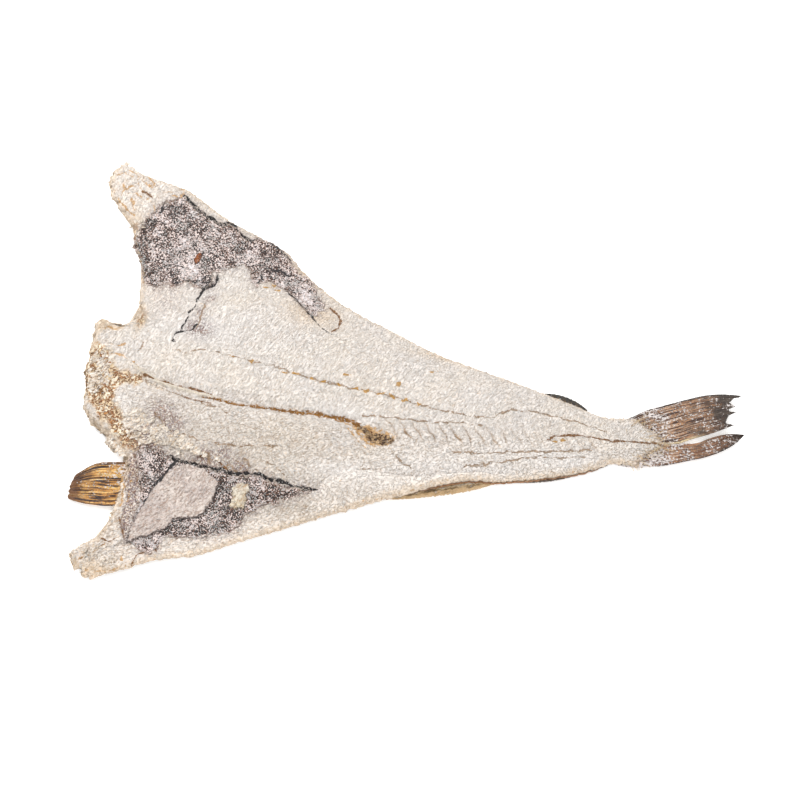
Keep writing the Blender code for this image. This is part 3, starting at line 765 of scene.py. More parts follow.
def stretched(tree, vector, turn, scale):
    """Places turned back about Z and then scaled, so that noise on them is drawn out along the turn."""
    item = tree.nodes.new("ShaderNodeMapping")
    item.vector_type = "TEXTURE"
    feed(tree, item.inputs["Vector"], vector)
    item.inputs["Rotation"].default_value = (0.0, 0.0, turn)
    item.inputs["Scale"].default_value = tuple(1 / share for share in scale)
    return item.outputs["Vector"]


# %% Start a group or a material
def new_group(name, inputs, outputs):
    """An empty node group with these named sockets. "Vector" takes a place, and the others take a number."""
    tree = bpy.data.node_groups.new(name, "ShaderNodeTree")
    for way, labels in (("INPUT", inputs), ("OUTPUT", outputs)):
        for label in labels:
            kind = "NodeSocketVector" if label == "Vector" else "NodeSocketFloat"
            tree.interface.new_socket(label, in_out=way, socket_type=kind)
    return tree, tree.nodes.new("NodeGroupInput").outputs, tree.nodes.new("NodeGroupOutput").inputs


def use_group(tree, group, **values):
    """Places the group in a material with its own values, and gives its outputs by name."""
    item = tree.nodes.new("ShaderNodeGroup")
    item.node_tree = group
    for name, value in values.items():
        feed(tree, item.inputs[name], value)
    return item.outputs


def new_material(name):
    """A material with its Principled shader, and the socket of its places in metres."""
    material = bpy.data.materials.new(name)
    material.use_nodes = True
    tree = material.node_tree
    places = tree.nodes.new("ShaderNodeTexCoord").outputs["Object"]
    return material, tree, tree.nodes["Principled BSDF"], places


def coat(tree, shader, colour, roughness, layers):
    """Colour, roughness, and a Bump node per (height, distance in metres), each feeding the next."""
    feed(tree, shader.inputs["Base Color"], colour)
    feed(tree, shader.inputs["Roughness"], roughness)
    normal = None
    for height, distance in layers:
        item = tree.nodes.new("ShaderNodeBump")
        item.inputs["Distance"].default_value = distance
        feed(tree, item.inputs["Height"], height)
        if normal is not None:
            tree.links.new(normal, item.inputs["Normal"])
        normal = item.outputs["Normal"]
    tree.links.new(normal, shader.inputs["Normal"])


# %% [markdown]
# ## Effects that several finishes share
# Salt dust lies on flesh, membrane, skin and fins. Torn dark lines cross flesh and membrane, and some black
# ones are painted shadow. Each is a node group, built once, so that all the finishes age alike, and one change
# reaches all of them.

# %% Salt dust
salt_dust, given, result = new_group("salt_dust", ("Vector", "Size", "Amount"), ("Mask", "Height"))
grains = speckle(salt_dust, given["Vector"], given["Size"], 3.0, 0.65)
drifts = speckle(salt_dust, given["Vector"], 70.0, 2.0)
level = plus(salt_dust, grains, times(salt_dust, minus(salt_dust, drifts, 0.5), 0.22))
bar = minus(salt_dust, 0.8, times(salt_dust, given["Amount"], 0.45))
dusted = step_up(salt_dust, level, bar, plus(salt_dust, bar, 0.09))
feed(salt_dust, result["Mask"], dusted)
feed(salt_dust, result["Height"], dusted)

# %% Torn line
torn_line, given, result = new_group("torn_line", ("Vector", "Distance", "Width", "Breaks"), ("Mask",))
wobble = minus(torn_line, speckle(torn_line, given["Vector"], 460.0, 2.0, 0.7), 0.5)
swell = step_up(torn_line, speckle(torn_line, given["Vector"], 75.0, 1.0), 0.34, 0.64, 0.45, 1.55)
width = times(torn_line, given["Width"], swell)
reach = plus(torn_line, given["Distance"], times(torn_line, wobble, times(torn_line, width, 2.4)))
ink = step_up(torn_line, reach, width, times(torn_line, width, 0.35))
bar = times(torn_line, given["Breaks"], 0.55)
gaps = step_up(torn_line, speckle(torn_line, given["Vector"], 150.0, 2.0), bar, plus(torn_line, bar, 0.12))
feed(torn_line, result["Mask"], times(torn_line, ink, gaps))

# %% Creases
creases, given, result = new_group("creases", ("Vector", "Size", "Width"), ("Mask", "Height"))
# A crease runs wherever the noise crosses its middle value.
field = speckle(creases, given["Vector"], given["Size"], 2.0, 0.55)
off_middle = maths(creases, "ABSOLUTE", minus(creases, field, 0.5))
feed(
    creases, result["Mask"],
    step_up(creases, off_middle, given["Width"], times(creases, given["Width"], 0.2)),
)
feed(creases, result["Height"], step_up(creases, off_middle, 0.0, times(creases, given["Width"], 3.0)))

# %% Mottle
mottle, given, result = new_group("mottle", ("Vector", "Size", "Sharpness"), ("Mask",))
field = speckle(mottle, given["Vector"], given["Size"], 4.0, 0.6)
half = maths(mottle, "DIVIDE", 0.12, given["Sharpness"])
feed(mottle, result["Mask"], step_up(mottle, field, minus(mottle, 0.5, half), plus(mottle, 0.5, half)))

# %% [markdown]
# ## The finish of the flesh
# Dried cod flesh is a warm cream with cool white patches where salt has come out. Hollows, creases and
# folds are painted beige as shade and bump tops a warmer white as painted highlight, the nape cut and the
# rims are ochre, and dark flecks of lining are left beside the membranes. A painted picture could show all
# this, but masks computed from the surface also hold where nobody looks from above.

# %% Flesh
# The warm white is painted on bump and grain tops as highlight, and the beige in their pits as shade.
CREAM, COOL_WHITE, WARM_HIGHLIGHT = (262, 253, 243), (255, 250, 247), (264, 260, 256)
BEIGE_SHADE, OCHRE, DEEP_OCHRE = (214, 188, 160), (226, 148, 56), (128, 62, 6)
UMBER, EDGE_AND_SHADOW_BLACK, LILAC_GREY = (166, 114, 42), (16, 14, 20), (154, 138, 142)


def tint(tree, colour, mask, share, over):
    """Puts one colour over another where a mask says, at most by this share."""
    return blend(tree, times(tree, mask, share), colour, over)


def flesh_ground(tree, place_at):
    """Cream with cool and warm areas. Grain and bump tops get painted white highlight and their pits painted
    beige shade, and painted shade darkens the fibre creases above and the wrinkles below.
    """
    patches = use_group(tree, mottle, Vector=place_at, Size=26.0, Sharpness=0.5)["Mask"]
    grains = speckle(tree, place_at, 760.0, 2.0, 0.7)
    bumps = speckle(tree, stretched(tree, place_at, 0.9, (0.75, 2.0, 1.0)), 400.0, 2.0, 0.65)
    lower = step_up(tree, mark(tree, "across"), 0.02, -0.12)
    slanted = use_group(
        tree, creases, Vector=stretched(tree, place_at, FIBRE_TURN, (140.0, 520.0, 200.0)), Size=1.0,
        Width=0.03,
    )
    wrinkled = use_group(
        tree, creases, Vector=stretched(tree, place_at, 0.5, (1.0, 1.5, 1.0)), Size=215.0, Width=0.026,
    )
    # Painted shade: the valleys of the fibre creases above and the wrinkles below are darkened, where the bumps
    # sink.
    crease = blend(tree, lower, slanted["Mask"], wrinkled["Mask"])
    relief = blend(tree, lower, slanted["Height"], wrinkled["Height"])
    crease = times(tree, crease, step_up(tree, bumps, 0.58, 0.42))
    colour = blend(tree, patches, CREAM, COOL_WHITE)
    # Painted shade: the front half of the lower fillet is tinted darker for its crumpled surface.
    fading = step_up(tree, mark(tree, "length"), 0.36, 0.52, 1.0, 0.1)
    dull = times(tree, step_up(tree, mark(tree, "across"), 0.02, -0.3), fading)
    colour = tint(tree, colour, dull, 0.45, (221, 209, 194))
    colour = tint(tree, colour, mark(tree, "cool"), 0.7, (268, 264, 262))
    # Partly the flesh's own paleness and partly painted light: the lugs, knob, belly roll and lower front edge,
    # which face away from the key lamp, are lightened.
    colour = tint(tree, colour, mark(tree, "pale"), 0.9, (268, 259, 250))
    # Painted highlight and shade: bump and grain pits turn beige, and their tops a warmer white.
    colour = tint(tree, colour, step_up(tree, bumps, 0.46, 0.36), 0.2, BEIGE_SHADE)
    colour = tint(tree, colour, step_up(tree, bumps, 0.54, 0.62), 0.5, WARM_HIGHLIGHT)
    colour = tint(tree, colour, step_up(tree, grains, 0.54, 0.62), 0.5, WARM_HIGHLIGHT)
    colour = tint(tree, colour, step_up(tree, grains, 0.46, 0.38), 0.46, (206, 184, 158))
    # Again the pale parts, partly painted light.
    colour = tint(tree, colour, mark(tree, "pale"), 0.35, (264, 256, 249))
    # The painted crease shade is stronger on the lower fillet.
    share = blend(tree, lower, (0.34,) * 3 + (1.0,), (0.8,) * 3 + (1.0,))
    colour = tint(tree, colour, crease, share, (166, 142, 114))
    # Painted shade in the valleys of the fold mark: greyish beige, and ochre on the pale parts.
    fold_shade_colour = blend(tree, mark(tree, "pale"), (178, 148, 116), (214, 172, 124))
    colour = tint(tree, colour, mark(tree, "fold_shade"), 0.5, fold_shade_colour)
    # Painted highlight on the crest of the ridge beside the split, over its cream flesh.
    colour = tint(tree, colour, mark(tree, "crest"), 0.85, (260, 248, 228))
    colour = tint(tree, colour, mark(tree, "cool"), 0.35, (262, 258, 256))
    colour = tint(tree, colour, mark(tree, "warm"), 0.45, (246, 210, 160))
    return colour, ((relief, 0.0008), (bumps, 0.0008), (grains, 0.0005))


def rim_and_nape(tree, place_at, colour):
    """Golden rims, and at the nape cream lumps between ochre and brown crevices."""
    rim_noise = speckle(tree, place_at, 170.0, 3.0, 0.65)
    near = plus(tree, mark(tree, "rim"), times(tree, rim_noise, 0.01))
    colour = tint(tree, colour, step_up(tree, near, 0.012, 0.004), 0.6, (258, 234, 204))
    spots = step_up(tree, speckle(tree, place_at, 420.0, 3.0, 0.7), 0.44, 0.34)
    spots = times(tree, spots, step_up(tree, near, 0.012, 0.0045))
    colour = tint(tree, colour, spots, 0.75, (204, 152, 88))
    nape = mark(tree, "nape")
    lumps = speckle(tree, place_at, 150.0, 3.0, 0.65)
    colour = tint(tree, colour, nape, 1.0, (282, 267, 240))
    warm = times(tree, nape, step_up(tree, lumps, 0.6, 0.4))
    colour = tint(tree, colour, warm, 0.55, (254, 210, 148))
    wide = use_group(tree, creases, Vector=place_at, Size=150.0, Width=0.075)["Mask"]
    narrow = use_group(
        tree, creases, Vector=stretched(tree, place_at, 0.5, (1.0, 1.4, 1.0)), Size=240.0, Width=0.075,
    )["Mask"]
    strokes = step_up(tree, speckle(tree, place_at, 210.0, 1.0), 0.56, 0.46)
    wide = times(tree, wide, step_up(tree, lumps, 0.62, 0.48))
    crevice = times(tree, nape, maths(tree, "MAXIMUM", wide, times(tree, narrow, strokes)))
    brown = blend(tree, step_up(tree, lumps, 0.58, 0.45), OCHRE, DEEP_OCHRE)
    return tint(tree, colour, crevice, 0.95, brown), minus(tree, 1.0, crevice)


def ragged(tree, value, noise_value, reach):
    """The value moved by up to about half the reach either way, so that its border frays."""
    return plus(tree, value, times(tree, minus(tree, noise_value, 0.5), reach))


def stains(tree, place_at, colour):
    """Lilac-grey veils beside the membranes, rust in the pit, and the tail root's brown."""
    flecks = speckle(tree, place_at, 460.0, 2.0, 0.7)
    veil = times(tree, mark(tree, "veil"), step_up(tree, flecks, 0.48, 0.53))
    colour = tint(tree, colour, veil, 0.92, LILAC_GREY)
    threads = use_group(
        tree, creases, Vector=stretched(tree, place_at, 1.2, (1.0, 1.6, 1.0)), Size=210.0, Width=0.06,
    )["Mask"]
    threads = times(tree, threads, step_up(tree, mark(tree, "veil"), 0.3, 0.9))
    colour = tint(tree, colour, threads, 0.75, (140, 96, 66))
    film_gap = ragged(tree, mark(tree, "membrane"), flecks, 0.008)
    colour = tint(tree, colour, step_up(tree, film_gap, -0.0012, 0.0006), 0.9, (140, 120, 114))
    rough = speckle(tree, place_at, 260.0, 3.0, 0.7)
    pit = ragged(tree, mark(tree, "pit"), rough, 1.8)
    colour = tint(tree, colour, step_up(tree, pit, 0.22, 0.55), 0.9, (238, 190, 130))
    colour = tint(tree, colour, step_up(tree, pit, 0.8, 1.0), 0.95, (96, 54, 26))
    root = ragged(tree, mark(tree, "length"), flecks, 0.04)
    return tint(tree, colour, step_up(tree, root, 0.982, 1.002), 0.5, (198, 170, 150))


def flesh_lines(tree, place_at, colour):
    """Pin bones, creases, the brown split line, and the black lines: torn edges and in places painted shadow.
    """
    for name, width, breaks, share, over in (
        ("fine_line", 0.0012, 0.55, 0.8, (160, 130, 96)),
        ("ochre_line", 0.0011, 0.1, 0.85, (220, 172, 112)),
        ("ridge_line", 0.0015, 0.35, 0.95, (142, 98, 54)),
        ("brown_line", 0.0027, 0.35, 0.97, UMBER),
        # Black: torn edges of the lining, and painted shadow under the flesh's edge and beside the loose patch.
        ("black_line", 0.0013, 0.42, 0.97, EDGE_AND_SHADOW_BLACK),
    ):
        ink = use_group(
            tree, torn_line, Vector=place_at, Distance=mark(tree, name), Width=width, Breaks=breaks,
        )["Mask"]
        colour = tint(tree, colour, ink, share, over)
    pin = ragged(tree, mark(tree, "pin"), speckle(tree, place_at, 330.0, 2.0, 0.6), 1.6)
    return tint(tree, colour, step_up(tree, pin, 0.38, 0.58), 0.9, (208, 158, 78))


def make_flesh():
    """The ground, then the rims and the nape, stains and lines, and salt dust over all."""
    material, tree, shader, place_at = new_material("dried_flesh")
    colour, layers = flesh_ground(tree, place_at)
    colour, sunk = rim_and_nape(tree, place_at, colour)
    colour = stains(tree, place_at, colour)
    colour = flesh_lines(tree, place_at, colour)
    bare = maths(tree, "MAXIMUM", mark(tree, "nape"), mark(tree, "pale"))
    dust = use_group(
        tree, salt_dust, Vector=place_at, Size=700.0, Amount=step_up(tree, bare, 0.2, 1.0, 0.4, 0.16),
    )
    colour = tint(tree, colour, dust["Mask"], 0.8, (257, 253, 248))
    shader.inputs["Specular IOR Level"].default_value = 0.35
    roughness = step_up(tree, dust["Mask"], 0.0, 1.0, 0.82, 0.55)
    coat(tree, shader, colour, roughness, layers + ((sunk, 0.0012), (dust["Height"], 0.0005)))
    return material


flesh = make_flesh()

# %% [markdown]
# ## The finish of the membrane, the skin and the fins
# The lining of the belly dried to a thin dark film under a frost of salt: white, lilac and brown-black specks
# of a millimetre or two. The skin has rows of small scales under the same frost. The fins show brown rays.

# %% Membrane
def make_membrane():
    """Grey-brown blotches, then rust, frost, dark and white specks, salt, and the black line: torn edge and in
    places painted shadow.
    """
    material, tree, shader, place_at = new_material("belly_membrane")
    blotch = use_group(tree, mottle, Vector=place_at, Size=52.0, Sharpness=1.4)["Mask"]
    patchy = use_group(tree, mottle, Vector=place_at, Size=150.0, Sharpness=1.3)["Mask"]
    specks = speckle(tree, place_at, 620.0, 1.0, 0.6)
    flecks = speckle(tree, stretched(tree, place_at, 0.6, (1.0, 1.3, 1.0)), 400.0, 1.0, 0.6)
    rust, frost = mark(tree, "rust"), mark(tree, "frost")
    colour = blend(tree, blotch, (168, 140, 134), (122, 84, 68))
    colour = tint(tree, colour, minus(tree, 1.0, patchy), 0.6, (98, 70, 60))
    edge = mark(tree, "edge")
    rusty = maths(tree, "MAXIMUM", step_up(tree, ragged(tree, edge, flecks, 0.03), 0.0095, 0.002), rust)
    colour = tint(tree, colour, rusty, 0.75, (140, 92, 58))
    colour = tint(tree, colour, frost, 0.75, (226, 212, 208))
    brown = times(tree, step_up(tree, flecks, 0.5, 0.57), plus(tree, times(tree, rust, 0.5), 0.45))
    colour = tint(tree, colour, brown, 0.9, (112, 68, 44))
    grime = plus(tree, times(tree, rust, 0.4), minus(tree, blotch, patchy))
    shift = times(tree, minus(tree, grime, minus(tree, frost, 0.1)), 0.085)
    shade = minus(tree, specks, shift)
    colour = tint(tree, colour, step_up(tree, shade, 0.485, 0.462), 0.97, (28, 14, 12))
    colour = tint(tree, colour, step_up(tree, shade, 0.54, 0.562), 0.97, (260, 244, 239))
    drift = times(tree, minus(tree, frost, grime), 0.2)
    drift = plus(tree, drift, times(tree, patchy, 0.2))
    salt = use_group(tree, salt_dust, Vector=place_at, Size=520.0, Amount=plus(tree, 0.34, drift))
    colour = tint(tree, colour, salt["Mask"], 0.95, (260, 252, 254))
    # The black line is the torn edge, and painted shadow where the flesh's edge overhangs the membrane.
    black = use_group(
        tree, torn_line, Vector=place_at, Distance=mark(tree, "black_line"), Width=0.0013, Breaks=0.42,
    )["Mask"]
    colour = tint(tree, colour, black, 0.97, EDGE_AND_SHADOW_BLACK)
    colour = tint(
        tree, colour, step_up(tree, ragged(tree, edge, specks, 0.014), 0.0013, 0.0), 0.75, (214, 200, 188),
    )
    roughness = step_up(tree, salt["Mask"], 0.0, 1.0, 0.62, 0.5)
    coat(tree, shader, colour, roughness, [(specks, 0.0007), (flecks, 0.0008), (salt["Height"], 0.0006)])
    return material


membrane = make_membrane()


# %% Skin
def make_skin():
    """Mottled grey, paler towards the edges, with folds darkened as painted shade, scales as Voronoi cells,
    salt, and a brown hem.
    """
    material, tree, shader, place_at = new_material("scaly_skin")
    scales = tree.nodes.new("ShaderNodeTexVoronoi")
    scales.feature = "DISTANCE_TO_EDGE"
    scales.inputs["Scale"].default_value = 1.0
    tree.links.new(stretched(tree, place_at, 0.0, (260.0, 340.0, 120.0)), scales.inputs["Vector"])
    pattern = use_group(tree, mottle, Vector=place_at, Size=34.0, Sharpness=1.3)["Mask"]
    back = step_up(tree, maths(tree, "ABSOLUTE", mark(tree, "across")), 0.15, 0.95)
    colour = blend(tree, pattern, (104, 98, 92), (140, 130, 118))
    colour = blend(tree, times(tree, back, 0.6), colour, (188, 182, 174))
    folds = use_group(
        tree, mottle, Vector=stretched(tree, place_at, 1.2, (1.0, 3.0, 1.0)), Size=60.0, Sharpness=2.0,
    )["Mask"]
    # Painted shade: the skin is darkened where its folds sink.
    colour = blend(tree, times(tree, step_up(tree, folds, 0.35, 0.0), 0.6), colour, (60, 52, 48))
    colour = blend(tree, step_up(tree, scales.outputs["Distance"], 0.1, 0.02, 0.0, 0.5), colour, (64, 58, 54))
    salt = use_group(tree, salt_dust, Vector=place_at, Size=520.0, Amount=0.72)
    colour = blend(tree, times(tree, salt["Mask"], 0.85), colour, (222, 218, 214))
    dark_hem = times(tree, mark(tree, "hem"), 0.85)
    colour = blend(tree, dark_hem, colour, (186, 128, 74))
    layers = [(scales.outputs["Distance"], 0.001), (folds, 0.0012), (salt["Height"], 0.0004)]
    coat(tree, shader, colour, 0.55, layers)
    return material


skin = make_skin()


# %% Fins
def make_fin(name, colours, salted, rays, dashes, stout, hem=0.0):
    """Colours of root, middle, tip, grooves and ridges, which follow rays across and dashes along the fin."""
    root, middle, tip, groove, ridge = colours
    material, tree, shader, place_at = new_material(name)
    run, ray = mark(tree, "run"), mark(tree, "ray")
    lay = tree.nodes.new("ShaderNodeCombineXYZ")
    feed(tree, lay.inputs["X"], times(tree, run, dashes))
    feed(tree, lay.inputs["Y"], times(tree, ray, rays))
    rib = speckle(tree, lay.outputs["Vector"], 1.0, 2.0, 0.6)
    flecks = speckle(tree, place_at, 430.0, 2.0, 0.65)
    colour = blend(tree, step_up(tree, run, 0.1, 0.55), root, middle)
    # The rays' own streaks, and also painted shade where the rib bumps sink and painted highlight where they
    # rise.
    colour = blend(tree, step_up(tree, rib, 0.5, 0.44, 0.0, stout), colour, groove)
    colour = blend(tree, step_up(tree, rib, 0.52, 0.6, 0.0, stout), colour, ridge)
    # More painted shade in the fleck pits.
    colour = tint(tree, colour, step_up(tree, flecks, 0.46, 0.38), 0.6, groove)
    burnt = use_group(tree, mottle, Vector=place_at, Size=60.0, Sharpness=1.2)["Mask"]
    darkness = plus(tree, ragged(tree, run, rib, 1.1), times(tree, burnt, 0.14))
    colour = tint(tree, colour, step_up(tree, darkness, 0.72, 0.98), 0.9, tip)
    lead = step_up(tree, ragged(tree, ray, flecks, 0.04), 0.945, 0.975)
    colour = tint(tree, colour, lead, 0.85, tip)
    bar = step_up(tree, run, 0.0, 0.9, 0.60 - 0.10 * salted, 0.68 - 0.04 * salted)
    frosted = plus(tree, ragged(tree, flecks, rib, 0.5), times(tree, minus(tree, 0.5, burnt), 0.14))
    salt = step_up(tree, frosted, bar, plus(tree, bar, 0.07))
    colour = tint(tree, colour, salt, 0.92, (252, 244, 242))
    pale_hem = step_up(tree, ragged(tree, ray, flecks, 0.02), 0.055, 0.03)
    colour = tint(tree, colour, times(tree, pale_hem, step_up(tree, run, 0.8, 0.55)), hem, (240, 218, 176))
    roughness = step_up(tree, salt, 0.0, 1.0, 0.48, 0.6)
    coat(tree, shader, colour, roughness, [(rib, 0.0018), (flecks, 0.0012), (salt, 0.0005)])
    return material


tail_upper_finish = make_fin(
    "tail_upper_rays", ((208, 178, 160), (198, 148, 108), (34, 32, 32), (72, 44, 30), (246, 212, 184)),
    salted=1.8, rays=34.0, dashes=5.0, stout=1.0, hem=0.95,
)
tail_lower_finish = make_fin(
    "tail_lower_rays", ((250, 222, 206), (214, 158, 116), (30, 26, 26), (92, 50, 30), (264, 228, 196)),
    salted=2.4, rays=24.0, dashes=5.0, stout=0.9,
)
breast_finish = make_fin(
    "breast_fin_rays", ((208, 144, 62), (206, 144, 62), (112, 66, 20), (52, 20, 0), (268, 222, 140)),
    salted=0.3, rays=20.0, dashes=1.6, stout=1.0,
)
dark_fin_finish = make_fin(
    "dark_fin_rays", ((186, 142, 88), (128, 100, 64), (34, 32, 30), (24, 22, 22), (196, 160, 108)),
    salted=0.3, rays=22.0, dashes=5.0, stout=1.0,
)
vent_finish = make_fin(
    "vent_fin_rays", ((248, 226, 194), (232, 204, 160), (206, 172, 126), (128, 104, 72), (252, 238, 216)),
    salted=0.4, rays=6.0, dashes=6.0, stout=0.9,
)
hem_finish = make_fin(
    "dried_hem", ((226, 172, 118), (178, 120, 66), (66, 56, 46), (110, 72, 38), (240, 204, 160)),
    salted=0.3, rays=8.0, dashes=5.0, stout=0.9,
)


# %% Salt
def make_salt():
    """White with a little transmission, so that grains glow at their edges."""
    material, tree, shader, place_at = new_material("salt_crystals")
    tone = speckle(tree, place_at, 300.0, 1.0)
    tree.links.new(blend(tree, tone, (236, 234, 232), (252, 251, 250)), shader.inputs["Base Color"])
    shader.inputs["Roughness"].default_value = 0.35
    shader.inputs["Transmission Weight"].default_value = 0.25
    return material


salt_finish = make_salt()
print("finishes:", [m.name for m in bpy.data.materials if m.users or m.use_nodes])

# %% [markdown]
# ## The two fillets
# Each fillet is one grid from the split line to its rim, with rows a little over a millimetre apart. Its
# columns crowd at the split and at the rim, where the form turns fastest. The two grids share their points
# on the split line, so no gap shows there.

# %% Fillets
ROWS, COLUMNS, UNDER_COLUMNS = 500, 180, 8
CROWDING = 0.30
VEIL_SPOTS = metres([
    (-244, -55, 18), (-225, -71, 14), (-257, -82, 12), (-188, -101, 14), (-151, -108, 12), (-217, 48, 12),
    (-228, 113, 9), (-226, 70, 9), (-220, 90, 8), (-232, 50, 10), (-247, -100, 12), (-168, -96, 9),
])
COOL_SPOTS = metres([
    (-222, 50, 50, 18), (-300, -48, 30, 16), (-60, -32, 35, 10), (253, 10, 14, 14), (90, -82, 80, 14),
    (-45, -100, 40, 12), (170, -50, 50, 12),
])
WARM_SPOTS = metres([
    (-145, 138, 26, 18), (-110, 92, 26, 20), (-274.5, -121, 16, 11), (-274, -236, 12, 8), (-330, 6, 16, 13),
    (60, 62, 50, 7),
])
PIN_SPOTS = metres([
    (-126, 9), (-114, 8.5), (-95, 4), (-84.5, 4), (-68, 3), (-51, 0), (-38, -1), (-23, -1), (-10, -2),
    (3.5, -5), (15, -7), (-161, 17), (-184, 21), (-61, 14), (-6, 11), (27, 35), (161, -31.5), (171, -28),
    (-158, 121), (-151, 118), (-166, 118),
])


def blots(spots, x, y):
    """A sum of soft ellipses, kept from 0 to 1."""
    return np.clip(sum(mound(x, y, (a, b), (c, d)) for a, b, c, d in spots), 0.0, 1.0)


def extra_marks(x, y, marks):
    """Masks that are sums of round spots."""
    veil = sum(mound(x, y, (a, b), (r, r)) for a, b, r in VEIL_SPOTS)
    beside = smooth_step(marks["membrane"], -0.012, -0.001)
    strip = smooth_step(inside_distance(STAINED, x, y) + 0.002 * noise(x, y, 0.006, 61), -0.001, 0.002)
    greyish = 0.5 * mound(x, y, (-0.266, 0.084), (0.02, 0.024))
    marks["cool"], marks["warm"] = blots(COOL_SPOTS, x, y), blots(WARM_SPOTS, x, y)
    marks["veil"] = np.clip(0.75 * veil + 0.45 * beside + 0.85 * strip + greyish, 0.0, 1.0)
    wedge = mound(x, y, (-0.019, -0.053), (0.015, 0.0085)) + 0.8 * mound(
        x, y, (-0.036, -0.044), (0.011, 0.0042),
    )
    marks["pit"] = np.clip(1.15 * wedge, 0.0, 1.0)
    shifted_x, shifted_y = x + 0.004 * noise(x, y, 0.011, 57), y + 0.004 * noise(x, y, 0.011, 59)
    marks["pin"] = sum(mound(shifted_x, shifted_y, spot, (0.0036, 0.002)) for spot in PIN_SPOTS)
    return marks


def fillet(name, from_t, to_t):
    """The closed fillet between two values of t."""
    s = np.linspace(0.0, 1.0, ROWS)
    v = np.linspace(0.0, 1.0, COLUMNS)
    v = v - CROWDING * np.sin(2 * np.pi * v) / (2 * np.pi)
    grid_s, grid_t = np.meshgrid(s, from_t + (to_t - from_t) * v, indexing="ij")
    top, _, marks = flesh_top(grid_s, grid_t)
    under_s, under_t = grid(ROWS, UNDER_COLUMNS, second=(from_t, to_t))
    _, under, under_marks = flesh_top(under_s, under_t)
    under[..., 2] += 0.0007
    for surface, its_marks in ((top, marks), (under, under_marks)):
        extra_marks(surface[..., 0], surface[..., 1], its_marks)
    joined = {label: np.concatenate((marks[label].ravel(), under_marks[label].ravel())) for label in marks}
    points, triangles = shell(top, under)
    add_piece(name, points, triangles, flesh, "flesh", joined)
    return top


upper_top = fillet("upper_fillet", 0.0, 1.0)
lower_top = fillet("lower_fillet", -1.0, 0.0)
print("highest point of the flesh:", round(float(max(upper_top[..., 2].max(), lower_top[..., 2].max())), 4))

# %% [markdown]
# ## The skin
# The fish lies on its skin, so mostly its rim shows. It is a thin shell just below the flesh that reaches
# out a little further at the lower rear edge, where it has dried to a dark hem.

# %% Skin shell
SKIN_THICK = 0.0011


def skin_shell():
    """From the underside up by the skin's thickness, drawn in 1 mm at the rim and out 2 mm at the hem."""
    s, t = grid(360, 150, (0.005, 1.0), (-1.0, 1.0))
    x, y, _ = place(s, t)
    x = x + tail_end(s, t)
    low = underside(s, t)
    hem = smooth_step(-t, 0.93, 1.0) * smooth_step(s, 0.55, 0.66) * (1 - smooth_step(s, 0.9, 0.96))
    at_rim = smooth_step(np.abs(t), 0.97, 1.0)
    y = y + (0.0022 * hem - 0.0010 * at_rim) * np.sign(t)
    dents = 0.0004 * layered(x, y, 0.02, 80)
    body = slab(x, y, low + SKIN_THICK + 0.0013 * hem, np.maximum(low + np.minimum(dents, 0.0), 0.0))
    add_piece("skin", *body, skin, "skin", both_sides({"across": t, "hem": hem}))


skin_shell()

# %% [markdown]
# ## The ground under small pieces
# Membrane, patches, flakes and salt lie on the flesh, so its height is needed at any place. Each point of the
# fillets is shared out over the four nearest cells of a square map, and the map is then read between cells.
# A ray cast from above would give the same, one point at a time and far slower.

# %% Height map
CELL = 0.0015
MAP_CORNER = np.array([-0.37, -0.26])
MAP_SIZE = (500, 350)


def height_map(points):
    """Weighted mean of the heights in each cell. Empty cells then take their neighbours' mean, 24 times."""
    at = (points[:, :2] - MAP_CORNER) / CELL
    cell = np.floor(at).astype(int)
    part = at - cell
    total, weight = np.zeros(MAP_SIZE), np.zeros(MAP_SIZE)
    for i in (0, 1):
        for j in (0, 1):
            share = np.abs(1 - i - part[:, 0]) * np.abs(1 - j - part[:, 1])
            np.add.at(total, (cell[:, 0] + i, cell[:, 1] + j), share * points[:, 2])
            np.add.at(weight, (cell[:, 0] + i, cell[:, 1] + j), share)
    known = weight > 1e-6
    heights = np.where(known, total / np.maximum(weight, 1e-6), 0.0)
    for _ in range(24):
        around = [np.roll(heights, shift, axis) for shift in (1, -1) for axis in (0, 1)]
        count = sum(np.roll(known, shift, axis).astype(float) for shift in (1, -1) for axis in (0, 1))
        fresh = ~known & (count > 0)
        heights = np.where(fresh, sum(around) / np.maximum(count, 1), heights)
        known |= fresh
    return heights


HEIGHTS = height_map(np.concatenate((upper_top.reshape(-1, 3), lower_top.reshape(-1, 3))))


def ground(x, y):
    """The map's height at any places, blended between the four nearest cells."""
    at_x, at_y = (x - MAP_CORNER[0]) / CELL, (y - MAP_CORNER[1]) / CELL
    i, j = np.floor(at_x).astype(int), np.floor(at_y).astype(int)
    fx, fy = at_x - i, at_y - j
    near = HEIGHTS[i, j] * (1 - fx) + HEIGHTS[i + 1, j] * fx
    far = HEIGHTS[i, j + 1] * (1 - fx) + HEIGHTS[i + 1, j + 1] * fx
    return near * (1 - fy) + far * fy


def on_ground(x, y, rise=0.0):
    """Places on the flesh, raised by this much."""
    return np.column_stack((x, y, ground(x, y) + rise))


print("map height at the backbone:", round(float(ground(np.array([0.05]), np.array([-0.04]))[0]), 4))

# %% [markdown]
# ## Sheets cut to a torn outline
# The membranes and the loose patch have outlines that no grid of rows follows. A fine square grid is laid
# over the outline instead. Cells outside are left out, and the points just outside are moved onto the border
# along the slope of the distance. Copies below and a wall around close the sheet.

